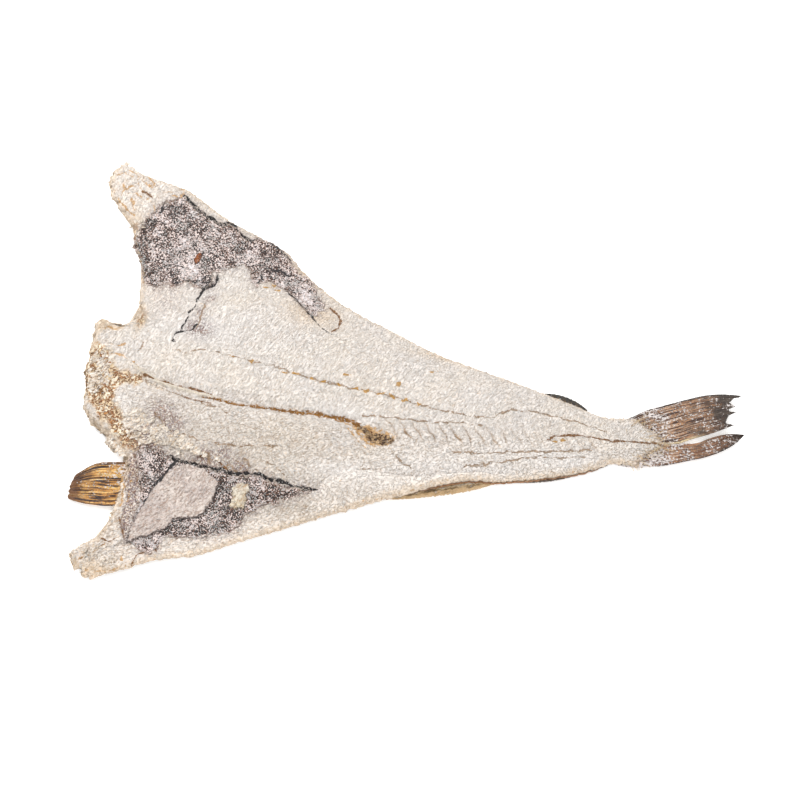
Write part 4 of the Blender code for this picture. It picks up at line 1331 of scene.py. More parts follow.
# %% Cut sheet
def cut_sheet(name, corners, material, slot_name, height, thick, spacing=0.0008, tear=0.001, seed=90):
    """height(x, y, inside distance) is added to the ground above, and thick is taken off it below."""
    corners = np.array(corners)
    low, high = corners.min(axis=0) - 0.004, corners.max(axis=0) + 0.004
    x, y = np.meshgrid(*(np.arange(low[i], high[i], spacing) for i in (0, 1)), indexing="ij")

    def border(px, py):
        """Inside distance plus coarse and fine noise, which tears the outline."""
        ragged = layered(px, py, 0.0045, seed) + 1.6 * layered(px, py, 0.013, seed + 300, 2)
        return inside_distance(corners, px, py) + tear * ragged

    gap = border(x, y)
    slope_x, slope_y = np.gradient(gap, spacing)
    steep = np.maximum(slope_x**2 + slope_y**2, 0.25)
    outside = gap < 0
    back = np.clip(np.where(outside, -gap / steep, 0.0), 0.0, 1.5 * spacing)
    x, y = x + back * slope_x, y + back * slope_y
    rows, columns = x.shape
    inner = ~outside
    cells = inner[:-1, :-1].astype(int) + inner[1:, :-1] + inner[1:, 1:] + inner[:-1, 1:]
    kept = np.tile((cells >= 2).ravel(), 2)
    triangles = grid_triangles(rows, columns)[kept]
    used, triangles = np.unique(triangles, return_inverse=True)
    triangles = triangles.reshape(-1, 3)
    x, y, gap = x.ravel()[used], y.ravel()[used], np.maximum(gap.ravel()[used], 0.0)
    floor_z = ground(x, y)
    top = np.column_stack((x, y, floor_z + height(x, y, gap)))
    under = np.column_stack((x, y, np.minimum(floor_z - thick, top[:, 2] - 0.0003)))
    edges = np.concatenate((triangles[:, [0, 1]], triangles[:, [1, 2]], triangles[:, [2, 0]]))
    _, first, count = np.unique(np.sort(edges, axis=1), axis=0, return_index=True, return_counts=True)
    a, b = edges[first[count == 1]].T
    shift = len(used)
    walls = np.concatenate((np.column_stack((b, a, a + shift)), np.column_stack((b, a + shift, b + shift))))
    faces = np.concatenate((triangles, triangles[:, ::-1] + shift, walls))
    marks = {"edge": gap, "rim": 0.02 + 0 * gap}
    if material == membrane:
        marks["black_line"] = black_distance(x, y)
        marks["rust"], marks["frost"] = blots(RUST_SPOTS, x, y), blots(FROST_SPOTS, x, y)
    add_piece(name, np.concatenate((top, under)), faces, material, slot_name, both_sides(marks))


# %% [markdown]
# ## Membranes
# Where a black torn edge runs, the film has curled up by about a millimetre. Elsewhere it clings to the flap.

# %% Both membranes
RUST_SPOTS = metres([
    (-304, 174, 11, 14), (-305, 145, 10, 22), (-279, 168, 8, 10), (-233, 165, 11, 9), (-211, 154, 10, 8),
    (-288, 112, 12, 9), (-160, 170, 24, 12), (-200, -178, 20, 9), (-170, -156, 14, 16),
    (-132, -138, 16, 10), (-165, -125, 10, 6), (-115, -128, 18, 6), (-152, -168, 14, 10),
    (-212, 182, 26, 11), (-262, 108, 18, 7),
])
FROST_SPOTS = metres([
    (-250, 132, 16, 12), (-195, 151, 12, 8), (-250, 147, 10, 8), (-100, 92, 10, 12), (-247, -106, 8, 8),
    (-120, 115, 12, 10),
])


def film(x, y, gap):
    """Just above the flap, crinkled by noise, and curled up within 2 mm of the black edges."""
    black = np.abs(black_distance(x, y))
    curl = 0.0016 * bell(black, 0.0016) * (0.6 + 0.8 * noise(x, y, 0.006, 91))
    crinkle = 0.00055 * layered(x, y, 0.006, 92) + 0.00040 * noise(x, y, 0.0022, 93)
    return 0.0007 + crinkle + np.maximum(curl, 0.0)


for where, corners, seed in (("upper", MEMBRANE_UPPER, 94), ("lower", MEMBRANE_LOWER, 95)):
    cut_sheet(f"belly_membrane_{where}", corners, membrane, "membrane", film, 0.0006, tear=0.0019, seed=seed)


# %% Loose patch and lump of fat
def patch_height(x, y, gap):
    """A pad about 3.4 mm high with a round rim, creased along its length."""
    rounded = np.sqrt(1 - (1 - np.clip(gap / 0.0022, 0.0, 1.0)) ** 2)
    length = x * math.cos(0.9) + y * math.sin(0.9)
    across = -x * math.sin(0.9) + y * math.cos(0.9)
    creases = 0.0009 * noise(length / 0.01, across / 0.0028, 1.0, 96) + 0.00035 * noise(x, y, 0.0026, 97)
    return 0.0018 + rounded * (0.0016 + creases + 0.0007 * layered(x, y, 0.012, 98))


def lump_height(x, y, gap):
    """A lump about 3 mm high with a round rim, made uneven by noise."""
    rounded = np.sqrt(1 - (1 - np.clip(gap / 0.003, 0.0, 1.0)) ** 2)
    return 0.0006 + rounded * (0.0022 + 0.0007 * layered(x, y, 0.0045, 99))


def make_pale(name, colours, patch_size=70.0):
    """Two colours in patches under a third painted in creases and pores as shade, a dark border painted as edge
    shadow, and salt on top.
    """
    first, second, crease = colours
    material, tree, shader, place_at = new_material(name)
    long_creases = speckle(tree, stretched(tree, place_at, 0.9, (110.0, 420.0, 200.0)), 1.0, 3.0, 0.65)
    colour = blend(
        tree, use_group(tree, mottle, Vector=place_at, Size=patch_size, Sharpness=1.0)["Mask"], first, second,
    )
    pores = speckle(tree, place_at, 430.0, 2.0, 0.7)
    hairs = use_group(
        tree, creases, Vector=stretched(tree, place_at, 0.7, (1.0, 2.0, 1.0)), Size=120.0, Width=0.035,
    )
    # Painted shade: the third colour goes where the creases, pores and hairs sink.
    colour = blend(tree, step_up(tree, long_creases, 0.48, 0.34, 0.0, 0.7), colour, crease)
    colour = blend(tree, step_up(tree, pores, 0.44, 0.36, 0.0, 0.7), colour, crease)
    colour = tint(tree, colour, hairs["Mask"], 0.6, crease)
    # Painted shadow: a dark border along the sheet's edge.
    border = plus(tree, mark(tree, "edge"), times(tree, minus(tree, pores, 0.5), 0.006))
    colour = tint(tree, colour, step_up(tree, border, 0.0014, 0.0002), 0.8, (84, 68, 66))
    dust = use_group(tree, salt_dust, Vector=place_at, Size=760.0, Amount=0.5)
    colour = tint(tree, colour, dust["Mask"], 0.7, (246, 243, 241))
    layers = [(long_creases, 0.0018), (hairs["Height"], 0.0008), (pores, 0.0016), (dust["Height"], 0.0005)]
    coat(tree, shader, colour, 0.75, layers)
    return material


patch_finish = make_pale("loose_patch_flesh", ((250, 238, 230), (236, 222, 216), (186, 156, 138)))
fat_finish = make_pale("dried_fat", ((258, 249, 234), (252, 238, 210), (196, 158, 116)))
cut_sheet("loose_patch", LOOSE_PATCH, patch_finish, "flesh", patch_height, 0.0004, seed=100, tear=0.0009)
cut_sheet(
    "fat_lump", FAT_LUMP, fat_finish, "flesh", lump_height, 0.0004, spacing=0.0006, seed=101, tear=0.0014,
)

# %% [markdown]
# ## Fins
# A fin is a fan of rays with a thin skin between them. Its surface lies between two curves, the leading and
# the trailing edge, and runs from the root (run = 0) to the tip (run = 1). A list of lengths shortens some
# rays, which leaves the tail's torn tips. Extruding a flat outline would be quicker, but would give no rays.

# %% Fin surface
def fin(
    name, leading, trailing, reach, middle, ribs, rib_height, thick, material, steps=(130, 110), seed=110,
):
    """middle(run, x, y) carries the fin. Ribs are the cosine of their count times the place across."""
    run, ray = grid(*steps)
    share = np.interp(ray, np.linspace(0.0, 1.0, len(reach)), reach)
    fray = 0.010 * noise(ray * 60.0, 0 * ray, 1.0, seed) + 0.006 * noise(ray * 140.0, 0 * ray, 1.0, seed + 1)
    share = run * np.clip(share + fray * smooth_step(run, 0.6, 1.0), 0.0, 1.0)
    across = ray + 0.004 * noise(share * 9.0, ray * 14.0, 1.0, seed + 2)
    across = np.clip(across, 0.0, 1.0)[..., None]
    spot = along(trailing, share) * (1 - across) + along(leading, share) * across
    x, y = spot[..., 0], spot[..., 1]
    thin = np.clip(np.minimum(np.minimum(ray, 1 - ray) * 9.0, (1 - run) * 9.0), 0.0, 1.0) ** 0.5
    half = 0.5 * thick * (1.0 - 0.45 * run) * (0.30 + 0.70 * thin)
    wave = np.cos(2 * np.pi * ribs * (ray + 0.012 * noise(run * 5.0, ray * 7.0, 1.0, seed + 3)))
    rise = rib_height * wave * (1 - 0.5 * run) * thin + 0.00025 * noise(x, y, 0.0032, seed + 4)
    centre = middle(run, x, y)
    body = slab(x, y, centre + half + rise, centre - half)
    add_piece(name, *body, material, "fin", both_sides({"run": share, "ray": ray}))


# %% Tail
UPPER_LOBE_LEADING = metres([
    (205, 4), (236.5, 19), (251, 29.5), (269, 38), (292, 48), (310, 55), (328.5, 59), (348, 60),
])
UPPER_LOBE_TRAILING = metres([(215, -22), (262, -14), (286, -7), (299, 0), (317, 8), (342, 22)])
LOWER_LOBE_LEADING = metres([
    (205, -36), (238, -42), (256, -39.5), (274, -35), (295, -27), (318, -18), (332, -10), (347.5, 4),
    (352.5, 11.5),
])
LOWER_LOBE_TRAILING = metres([
    (220, -16), (262, -12), (286, -7), (304, -4), (317, 3), (331, 9), (340, 11), (352, 11.6),
])
# Lengths of the upper lobe's rays from its trailing to its leading edge: three notches between four spikes.
UPPER_LOBE_LENGTHS = (
    1.0, 0.965, 0.925, 0.915, 0.92, 0.925, 0.935, 0.985, 0.93, 0.925, 0.975, 0.955, 0.92, 0.935, 0.945, 0.985,
    1.0,
)
LOWER_LOBE_LENGTHS = (1.0, 1.0, 1.0)


def tail_middle(run, x, y):
    """3 mm up at the root and 3 mm more at the tips, with a gentle wave."""
    return 0.003 + 0.003 * run * run + 0.0006 * np.sin(x * 60.0 + y * 40.0) * run


fin(
    "tail_upper_lobe", UPPER_LOBE_LEADING, UPPER_LOBE_TRAILING, UPPER_LOBE_LENGTHS, tail_middle, 17, 0.00022,
    0.0024, tail_upper_finish, (170, 150), 120,
)
fin(
    "tail_lower_lobe", LOWER_LOBE_LEADING, LOWER_LOBE_TRAILING, LOWER_LOBE_LENGTHS, tail_middle, 13, 0.0002,
    0.0026, tail_lower_finish, (170, 90), 130,
)

# %% Breast fins
BREAST_LEADING = metres([
    (-258, -104), (-270, -108), (-286, -110.5), (-299, -114), (-309, -120.5), (-319, -130),
])
BREAST_TRAILING = metres([(-260, -153), (-270, -159), (-296, -162), (-323, -157)])
BREAST_LENGTHS = (0.93, 0.965, 0.95, 0.985, 0.97, 1.0, 0.99, 1.0, 0.985, 0.99, 0.975)


def breast_middle(run, x, y):
    """2.6 mm up at the root, so that it stays under the flap, and 5.8 mm at the top of its arch."""
    return 0.0026 + 0.0032 * np.sin(np.pi * np.clip(run, 0.0, 0.9))


fin(
    "breast_fin", BREAST_LEADING, BREAST_TRAILING, BREAST_LENGTHS, breast_middle, 11, 0.0006, 0.0026,
    breast_finish, (110, 170), 140,
)

FOLDED_LEADING = metres([(-262, 50), (-215, 85), (-180, 100), (-150, 108)])
FOLDED_TRAILING = metres([(-255, 20), (-210, 35), (-175, 55), (-140, 80)])
sample_s, sample_t = grid(120, 120, (0.0, 0.5))
sample_place = plan(sample_s, sample_t).reshape(-1, 2)
sample_low = underside(sample_s, sample_t).ravel()


def folded_middle(run, x, y):
    """Just below the skin of the curled flap: the mean height of the nearest sampled places."""
    low = np.empty(x.size)
    for part in np.array_split(np.arange(x.size), 12):
        gap = np.hypot(x.ravel()[part, None] - sample_place[:, 0], y.ravel()[part, None] - sample_place[:, 1])
        low[part] = sample_low[np.argpartition(gap, 4, axis=1)[:, :4]].mean(axis=1)
    return np.maximum(low.reshape(x.shape) + 0.0002, 0.0021)


fin(
    "folded_breast_fin", FOLDED_LEADING, FOLDED_TRAILING, BREAST_LENGTHS, folded_middle, 8, 0.0, 0.003,
    breast_finish, (60, 60), 150,
)


# %% Vent fins and back fins
def edge_fin(name, edge, out, outward, rise, material, rays, seed):
    """A low strip beside an edge. Its reach is the sine of its length to the power 0.7, frayed by noise."""
    u, v = grid(160, 40)
    on_edge = along(edge, u)
    teeth = 1.0 + 0.20 * noise(u * 50.0, 0 * u, 1.0, seed)
    reach = out * np.sin(np.pi * np.clip(u, 0.03, 0.97)) ** 0.7 * teeth
    offset = -0.010 + v * (0.010 + reach)
    x, y = on_edge[..., 0] + 0.25 * offset, on_edge[..., 1] + outward * offset
    middle = 0.0034 + rise * v
    thin = np.clip(np.minimum(1 - v, np.minimum(u, 1 - u) * 4) * 6, 0, 1) ** 0.5
    half = 0.0012 * (0.35 + 0.65 * thin)
    ribs = 0.00035 * np.cos(2 * np.pi * rays * u) * thin
    body = slab(x, y, middle + half + ribs, middle - half)
    add_piece(name, *body, material, "fin", both_sides({"run": v, "ray": u}))


edge_fin(
    "rear_upper_fin", [(0.142, 0.032), (0.16, 0.027), (0.19, 0.018)], 0.0062, 1, 0.0034, dark_fin_finish, 9,
    160,
)
edge_fin(
    "vent_fin", [(-0.002, -0.112), (0.035, -0.097), (0.104, -0.079)], 0.0085, -1, -0.0012, vent_finish, 12,
    161,
)
edge_fin(
    "rear_lower_fin", [(0.112, -0.077), (0.16, -0.065), (0.216, -0.042)], 0.0036, -1, -0.0012, hem_finish, 24,
    162,
)

# %% [markdown]
# ## Frayed fibres
# The torn collar and the lugs are hairy: thin strands of dried muscle stand out from the rim. Each is a
# tapered tube with three sides along a bent path. All of them are one array of points, so that hundreds cost
# little. A hair system would look alike, but it isn't a mesh and can't be exported.

# %% Fibres
def tubes(starts, directions, lengths, widths, bends, points_along=6):
    """Each tube follows start + direction * run + bend * run squared. Its three sides taper to the tip."""
    count = len(starts)
    run = np.linspace(0.0, 1.0, points_along)
    way = directions[:, None] * run[:, None] + bends[:, None] * run[:, None] ** 2
    path = starts[:, None] + way * lengths[:, None, None]
    side = np.cross(directions, (0.0, 0.0, 1.0))
    side /= np.maximum(np.linalg.norm(side, axis=1, keepdims=True), 1e-9)
    rise = np.cross(side, directions)
    ring = np.array((0.0, 2.0, 4.0)) * np.pi / 3
    around = side[:, None] * np.cos(ring)[None, :, None] + rise[:, None] * np.sin(ring)[None, :, None]
    taper = (0.12 + 0.88 * (1 - run) ** 0.8)[None, :, None, None]
    points = path[:, :, None] + around[:, None] * widths[:, None, None, None] * taper
    cell = np.arange(points_along - 1)[:, None] * 3
    a, b = cell + np.array((0, 1, 2)), cell + np.array((1, 2, 0))
    body = cell_triangles(a, b, b + 3, a + 3)
    last = 3 * (points_along - 1)
    faces = np.concatenate((body, [[0, 2, 1], [last, last + 1, last + 2]]))
    return points.reshape(-1, 3), repeated(faces, 3 * points_along, count)


def fringe(name, s, t, outward, length, width, seed, material):
    """Strands rooted 1 mm inside the rim, pointing outwards and up, each turned by a random angle."""
    draw = np.random.default_rng(seed)
    x, y, _ = place(s, t)
    turn = draw.normal(0.0, 0.75, len(s))
    aim_x = outward[:, 0] * np.cos(turn) - outward[:, 1] * np.sin(turn)
    aim_y = outward[:, 0] * np.sin(turn) + outward[:, 1] * np.cos(turn)
    aim = np.column_stack((aim_x, aim_y, draw.uniform(-0.15, 0.55, len(s))))
    aim /= np.linalg.norm(aim, axis=1, keepdims=True)
    height = underside(s, t) + thickness(s, t) * draw.uniform(0.15, 0.75, len(s))
    starts = np.column_stack((x - 0.0012 * outward[:, 0], y - 0.0012 * outward[:, 1], height))
    bends = draw.normal(0.0, 0.3, (len(s), 3))
    lengths = length * draw.uniform(0.35, 1.0, len(s))
    points, triangles = tubes(starts, aim, lengths, width * draw.uniform(0.5, 1.0, len(s)), bends)
    points[:, 2] = np.clip(points[:, 2], 0.0004, HIGHEST)
    add_piece(name, points, triangles, material, "flesh", {"edge": 0.02 + 0 * points[:, 0]})


def outward_of(s, t):
    """The direction away from the middle of the fish: towards the collar at the front, sideways elsewhere."""
    here, inner = plan(s, t), plan(s + 0.012, t * 0.96)
    away = here - inner
    return away / np.maximum(np.linalg.norm(away, axis=1, keepdims=True), 1e-9)


strand_finish = make_pale("dried_strands", ((255, 240, 212), (246, 220, 176), (214, 164, 100)))
COLLAR_COUNT, TAIL_COUNT, EDGE_COUNT = 420, 320, 900
draw = np.random.default_rng(170)
collar_t = draw.uniform(-1.0, 1.0, COLLAR_COUNT)
collar_s = np.zeros(COLLAR_COUNT)
fringe("collar_fringe", collar_s, collar_t, outward_of(collar_s, collar_t), 0.006, 0.0004, 171, strand_finish)
tip = np.array([(-0.342, 0.2415, 0.047), (-0.344, 0.237, 0.047), (-0.34, 0.24, 0.046)])
aim = np.array([(0.62, 0.78, 0.1), (-0.5, 0.8, 0.1), (0.95, 0.25, 0.05)])
hair_lengths, hair_widths = np.array([0.012, 0.005, 0.006]), np.array([0.00075, 0.0005, 0.0005])
hairs, hair_triangles = tubes(tip, aim, hair_lengths, hair_widths, aim[:, ::-1] * 0.1)
add_piece("lug_hairs", hairs, hair_triangles, strand_finish, "flesh", {"edge": 0.02 + 0 * hairs[:, 0]})
root_t = draw.uniform(-0.85, 0.95, TAIL_COUNT)
root_s = draw.uniform(0.955, 1.0, TAIL_COUNT)
aft = np.column_stack((np.ones(TAIL_COUNT), 0.35 * root_t - 0.1))
fringe("tail_strands", root_s, root_t, aft, 0.017, 0.0006, 173, strand_finish)
edge_s = draw.uniform(0.0, 1.0, EDGE_COUNT) ** 1.4 * 0.93
edge_t = np.where(draw.uniform(0.0, 1.0, EDGE_COUNT) > 0.45, 1.0, -1.0)
fringe("edge_fringe", edge_s, edge_t, outward_of(edge_s, edge_t), 0.0026, 0.00032, 172, strand_finish)

# %% [markdown]
# ## Flakes
# Where the muscle split, small flakes lie on each other like wet paper that dried: at the lugs, at the nape
# and above the lower membrane. One flake is a bent oval of 136 triangles.

# %% Flakes
def flakes(name, centres, lengths, widths, turns, tilts, material, seed, rows=7, columns=5, thick=0.0005):
    """An oval over a small grid: half width = square root of (1 - place squared), bent up at its far end."""
    draw = np.random.default_rng(seed)
    count = len(centres)
    p, q = grid(rows, columns, (-1.0, 1.0), (-1.0, 1.0))
    half = np.sqrt(np.maximum(1 - p**2, 0.03))
    ragged = 1 + 0.40 * draw.normal(0.0, 1.0, (count, rows, 1))
    lx = 0.5 * lengths[:, None, None] * p[None]
    ly = 0.5 * widths[:, None, None] * q[None] * half[None] * ragged
    cup = (0.10 + 0.10 * draw.uniform(0, 1, (count, 1, 1))) * widths[:, None, None] * (q[None] ** 2 - 0.5)
    x = centres[:, 0, None, None] + lx * np.cos(turns)[:, None, None] - ly * np.sin(turns)[:, None, None]
    y = centres[:, 1, None, None] + lx * np.sin(turns)[:, None, None] + ly * np.cos(turns)[:, None, None]
    lift = np.tan(tilts)[:, None, None] * (lx + 0.5 * lengths[:, None, None]) - 0.0002
    z = centres[:, 2, None, None] + lift + cup * smooth_step(p, -1.0, 0.5)
    edge = np.maximum(np.abs(p), np.abs(q))
    top = np.stack((x, y, z + 0.5 * thick * (1.2 - edge)), axis=-1)
    under = np.stack((x, y, z - 0.5 * thick * (1.2 - edge)), axis=-1)
    _, faces = shell(top[0], under[0])
    points = np.concatenate((top.reshape(count, -1, 3), under.reshape(count, -1, 3)), axis=1)
    triangles = repeated(faces, points.shape[1], count)
    points = points.reshape(-1, 3)
    points[:, 2] = np.minimum(points[:, 2], HIGHEST)
    add_piece(name, points, triangles, material, "flesh", {"edge": 0.0030 + 0 * points[:, 0]})


def spread(draw, areas, count):
    """Random places in several ellipses given as (x, y, half length, half width, turn), by their share."""
    shares = np.array([a[2] * a[3] for a in areas])
    pick = draw.choice(len(areas), count, p=shares / shares.sum())
    areas = np.array(areas)[pick]
    radius, angle = np.sqrt(draw.uniform(0, 1, count)), draw.uniform(0, 2 * np.pi, count)
    a, b = areas[:, 2] * radius * np.cos(angle), areas[:, 3] * radius * np.sin(angle)
    x = areas[:, 0] + a * np.cos(areas[:, 4]) - b * np.sin(areas[:, 4])
    y = areas[:, 1] + a * np.sin(areas[:, 4]) + b * np.cos(areas[:, 4])
    return x, y


FLAKE_AREAS = [
    (-0.225, -0.088, 0.034, 0.009, -0.35), (-0.262, -0.075, 0.022, 0.014, -0.9),
    (-0.256, -0.024, 0.014, 0.004, -0.4),
    (-0.318, 0.16, 0.02, 0.006, 1.2), (-0.27, -0.222, 0.018, 0.01, -0.2), (-0.316, -0.01, 0.03, 0.012, 1.6),
]
MOST_FLAKES = 300
draw = np.random.default_rng(180)
flake_x, flake_y = spread(draw, FLAKE_AREAS, MOST_FLAKES)
well_inside = inside_distance(RIM, flake_x, flake_y) > 0.004
flake_x, flake_y = flake_x[well_inside], flake_y[well_inside]
count = len(flake_x)
flake_finish = make_pale("flesh_flakes", ((268, 259, 248), (262, 250, 234), (214, 180, 142)))
flakes(
    "muscle_flakes", on_ground(flake_x, flake_y), draw.uniform(0.004, 0.011, count),
    draw.uniform(0.002, 0.0055, count), draw.normal(0.9, 0.7, count), draw.uniform(0.01, 0.14, count),
    flake_finish, 181,
)
strip_x, strip_y, strip_length, strip_width, strip_turn, strip_tilt = np.array([
    (-0.2825, -0.0955, 0.031, 0.009, 2.5, 0.1), (-0.2885, -0.0945, 0.018, 0.005, 2.45, 0.05),
    (-0.199, -0.0965, 0.017, 0.009, -0.85, 0.13),
    (-0.207, -0.092, 0.014, 0.007, -0.6, 0.12), (-0.19, -0.1, 0.013, 0.0045, -0.7, 0.12),
    (-0.232, -0.0905, 0.014, 0.006, -0.4, 0.1),
    (-0.176, -0.103, 0.012, 0.0045, -0.75, 0.12),
]).T
flakes(
    "torn_strips", on_ground(strip_x, strip_y), strip_length, strip_width, strip_turn,
    strip_tilt, flake_finish, 182, rows=15, columns=7, thick=0.0014,
)

# %% [markdown]
# ## Crumbs in the pit, and a shred of liver
# The pit at the end of the body cavity holds brown crumbs of dried kidney. One orange shred sticks to the
# upper membrane.

# %% Crumbs
def crumbs(name, centres, sizes, material, slot_name, seed, rows=6, columns=7):
    """Small spheres from a grid of height and turn, each point pushed in or out by a random share."""
    draw = np.random.default_rng(seed)
    count = len(centres)
    tall = np.linspace(-np.pi / 2, np.pi / 2, rows)[1:-1]
    turn = np.linspace(0.0, 2 * np.pi, columns, endpoint=False)
    level, out = np.sin(tall)[:, None], np.cos(tall)[:, None]
    ball = np.stack((out * np.cos(turn), out * np.sin(turn), level + 0 * turn), axis=-1).reshape(-1, 3)
    ball = np.concatenate((ball, [[0.0, 0.0, -1.0], [0.0, 0.0, 1.0]]))
    rough = draw.uniform(0.65, 1.15, (count, len(ball), 1))
    points = centres[:, None] + ball[None] * rough * sizes[:, None, None] * np.array((1.0, 1.0, 0.7))
    rings, last = rows - 2, (rows - 2) * columns
    a = np.arange(rings - 1)[:, None] * columns + np.arange(columns)
    b = np.arange(rings - 1)[:, None] * columns + (np.arange(columns) + 1) % columns
    body = cell_triangles(a, b, b + columns, a + columns)
    around, after = np.arange(columns), (np.arange(columns) + 1) % columns
    bottom = np.column_stack((after, around, np.full(columns, last)))
    top = np.column_stack((around, after, np.full(columns, last + 1))) + np.array(
        (last - columns, last - columns, 0)
    )
    faces = np.concatenate((body, bottom, top))
    triangles = repeated(faces, len(ball), count)
    points = points.reshape(-1, 3)
    add_piece(name, points, triangles, material, slot_name, {"edge": 0.02 + 0 * points[:, 0]})


rust_finish = make_pale("dried_kidney", ((244, 206, 156), (84, 46, 22), (48, 26, 14)), 330.0)
CRUMB_AREAS = [(-0.016, -0.0535, 0.014, 0.0062, -0.15), (-0.034, -0.045, 0.009, 0.002, -0.45)]
CRUMB_COUNT = 130
draw = np.random.default_rng(190)
crumb_x, crumb_y = spread(draw, CRUMB_AREAS, CRUMB_COUNT)
crumb_size = draw.uniform(0.0008, 0.0022, CRUMB_COUNT)
crumb_places = on_ground(crumb_x, crumb_y, 0.3 * crumb_size)
crumbs("kidney_crumbs", crumb_places, crumb_size, rust_finish, "flesh", 191)
orange_finish = make_pale("orange_shred", ((196, 124, 70), (168, 92, 44), (120, 60, 28)))
SHRED = metres([(-249, 142), (-246, 147), (-243, 151), (-241, 146), (-242, 140), (-246, 137)])
cut_sheet(
    "orange_shred", SHRED, orange_finish, "flesh", lump_height, 0.0004, spacing=0.0005, seed=192, tear=0.0008,
)

# %% [markdown]
# ## Salt
# Coarse salt is still on the fish: cubes of a third of a millimetre to a millimetre, thick on the membranes
# and thin on the fillets. Each is a cube of twelve triangles with its own turn and slightly moved corners.

# %% Salt grains
def salt_cubes(name, centres, sizes, seed):
    """Corners at plus and minus half a side, moved a little, turned by a random rotation matrix."""
    draw = np.random.default_rng(seed)
    count = len(centres)
    corner = np.array([(i, j, k) for i in (-1, 1) for j in (-1, 1) for k in (-1, 1)], float)
    corner = corner[None] * draw.uniform(0.7, 1.1, (count, 8, 1)) * draw.uniform(0.6, 1.0, (count, 1, 3))
    frames, _ = np.linalg.qr(draw.normal(size=(count, 3, 3)))
    frames *= np.sign(np.linalg.det(frames))[:, None, None]
    points = centres[:, None] + 0.5 * sizes[:, None, None] * np.einsum("nij,nkj->nki", frames, corner)
    quads = np.array([(0, 1, 3, 2), (4, 6, 7, 5), (0, 4, 5, 1), (2, 3, 7, 6), (0, 2, 6, 4), (1, 5, 7, 3)])
    faces = np.concatenate((quads[:, :3], quads[:, [0, 2, 3]]))
    triangles = repeated(faces, 8, count)
    add_piece(name, points.reshape(-1, 3), triangles, salt_finish, "salt", sharp=20)


def on_flesh(draw, top, count, weight_of):
    """Random points of a fillet's grid, drawn by the area they stand for times a weight."""
    inner = top[2:-2, 2:-3]
    along_rows = np.linalg.norm(top[3:-1, 2:-3] - top[1:-3, 2:-3], axis=-1)
    along_columns = np.linalg.norm(top[2:-2, 3:-2] - top[2:-2, 1:-4], axis=-1)
    flat = inner.reshape(-1, 3)
    weight = (along_rows * along_columns).ravel() * weight_of(flat[:, 0], flat[:, 1])
    pick = draw.choice(len(flat), count, p=weight / weight.sum())
    return flat[pick] + draw.normal(0.0, 0.0004, (count, 3)) * np.array((1.0, 1.0, 0.2))


def salt_weight(x, y):
    """1 on open flesh and 6 on the membranes, times a noise that makes clumps."""
    patch_gap = inside_distance(LOOSE_PATCH, x, y)
    on_film = smooth_step(membrane_distance(x, y), -0.001, 0.002) * (
        1 - smooth_step(patch_gap, -0.001, 0.001)
    )
    clumps = smooth_step(layered(x, y, 0.02, 200, 2), -0.4, 0.6)
    return (1 + 5 * on_film) * (0.3 + clumps)


UPPER_GRAINS, LOWER_GRAINS = 7600, 6400
draw = np.random.default_rng(201)
upper_grains = on_flesh(draw, upper_top, UPPER_GRAINS, salt_weight)
lower_grains = on_flesh(draw, lower_top, LOWER_GRAINS, salt_weight)
grain_places = np.concatenate((upper_grains, lower_grains))
grain_sizes = 0.00040 + 0.00080 * draw.uniform(0.0, 1.0, len(grain_places)) ** 2
film_gap = membrane_distance(grain_places[:, 0], grain_places[:, 1])
grain_places[:, 2] += 0.25 * grain_sizes + 0.0008 * smooth_step(film_gap, 0.0, 0.002)
salt_cubes("salt_grains", grain_places, grain_sizes, 202)

# %% [markdown]
# ## Floor, light and camera
# The fish lies on a plain pale floor. A bright sky gives even light from all sides, and one large lamp from
# behind and the left draws the fibres and grooves. The camera looks down at 57 degrees through a long lens.

# %% Floor
GLOW = 0.30


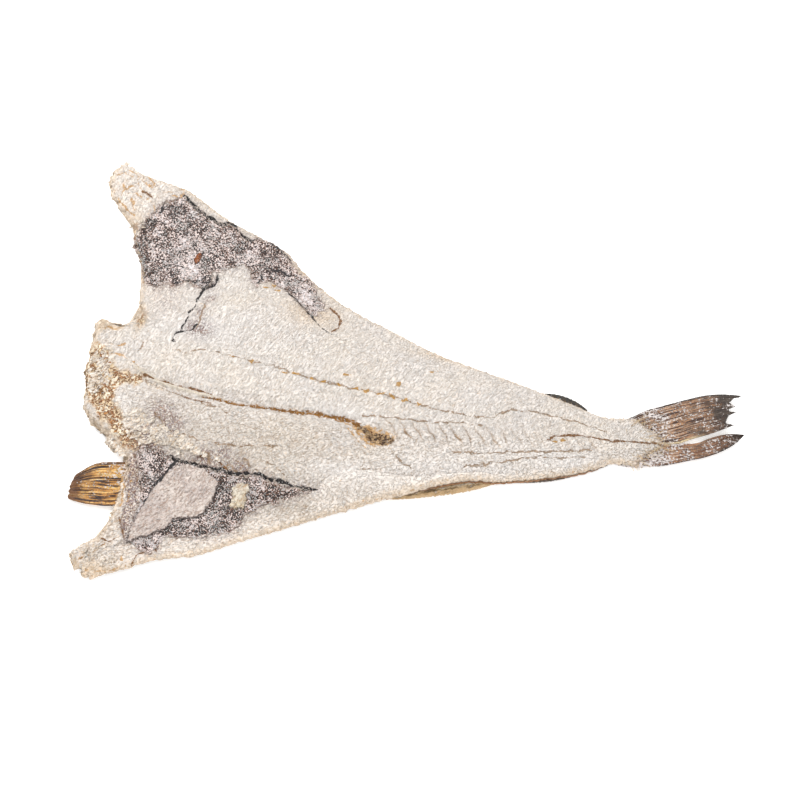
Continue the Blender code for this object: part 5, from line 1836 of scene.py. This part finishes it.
def make_floor():
    """A wide pale square just below the table's height."""
    half, low = 6.0, -0.0003
    mesh = bpy.data.meshes.new("floor")
    mesh.from_pydata(
        [(half * i, half * j, low) for i, j in ((-1, -1), (1, -1), (1, 1), (-1, 1))], [], [(0, 1, 2, 3)],
    )
    material, tree, shader, place_at = new_material("floor_paper")
    tree.links.new(
        blend(tree, speckle(tree, place_at, 3.0, 1.0), (0.93, 0.93, 0.93, 1.0), (0.95, 0.95, 0.95, 1.0)),
        shader.inputs["Base Color"],
    )
    shader.inputs["Roughness"].default_value = 0.9
    shader.inputs["Specular IOR Level"].default_value = 0.0
    shader.inputs["Emission Color"].default_value = (1.0, 1.0, 1.0, 1.0)
    shader.inputs["Emission Strength"].default_value = GLOW
    mesh.materials.append(material)
    put("floor", mesh)


make_floor()


# %% Light
def lamp(name, place_at, aim, power, size):
    """A square lamp at a place, turned so that its face looks at the aim."""
    light = bpy.data.lights.new(name, "AREA")
    light.energy, light.size = power, size
    item = put(name, light)
    item.location = place_at
    item.rotation_euler = (Vector(aim) - Vector(place_at)).to_track_quat("-Z", "Y").to_euler()


SKY = 0.58 * EXPOSURE
world = bpy.data.worlds.new("studio")
world.use_nodes = True
world.node_tree.nodes["Background"].inputs["Color"].default_value = (1.0, 0.97, 0.935, 1.0)
world.node_tree.nodes["Background"].inputs["Strength"].default_value = SKY
bpy.context.scene.world = world
lamp("key", (-1.1, 0.8, 2.1), (-0.05, 0.0, 0.0), 33.0 * EXPOSURE, 1.0)
lamp("fill", (0.9, -1.7, 1.8), (0.0, 0.0, 0.0), 15.0 * EXPOSURE, 1.0)
bpy.context.scene.view_settings.view_transform = "Standard"

# %% Camera
TILT, TURN, FAR = math.radians(57), math.radians(8), 1.96
AIM = np.array((-0.0037, 0.0022, 0.01))
forward = np.array((-math.sin(TURN) * math.cos(TILT), math.cos(TURN) * math.cos(TILT), -math.sin(TILT)))
camera_data = bpy.data.cameras.new("camera")
camera_data.lens, camera_data.sensor_width = 85.0, 36.0
camera = put("camera", camera_data)
camera.location = (AIM - FAR * forward).tolist()
camera.rotation_euler = (math.pi / 2 - TILT, 0.0, TURN)
bpy.context.scene.camera = camera
print("camera at", [round(v, 3) for v in camera.location])
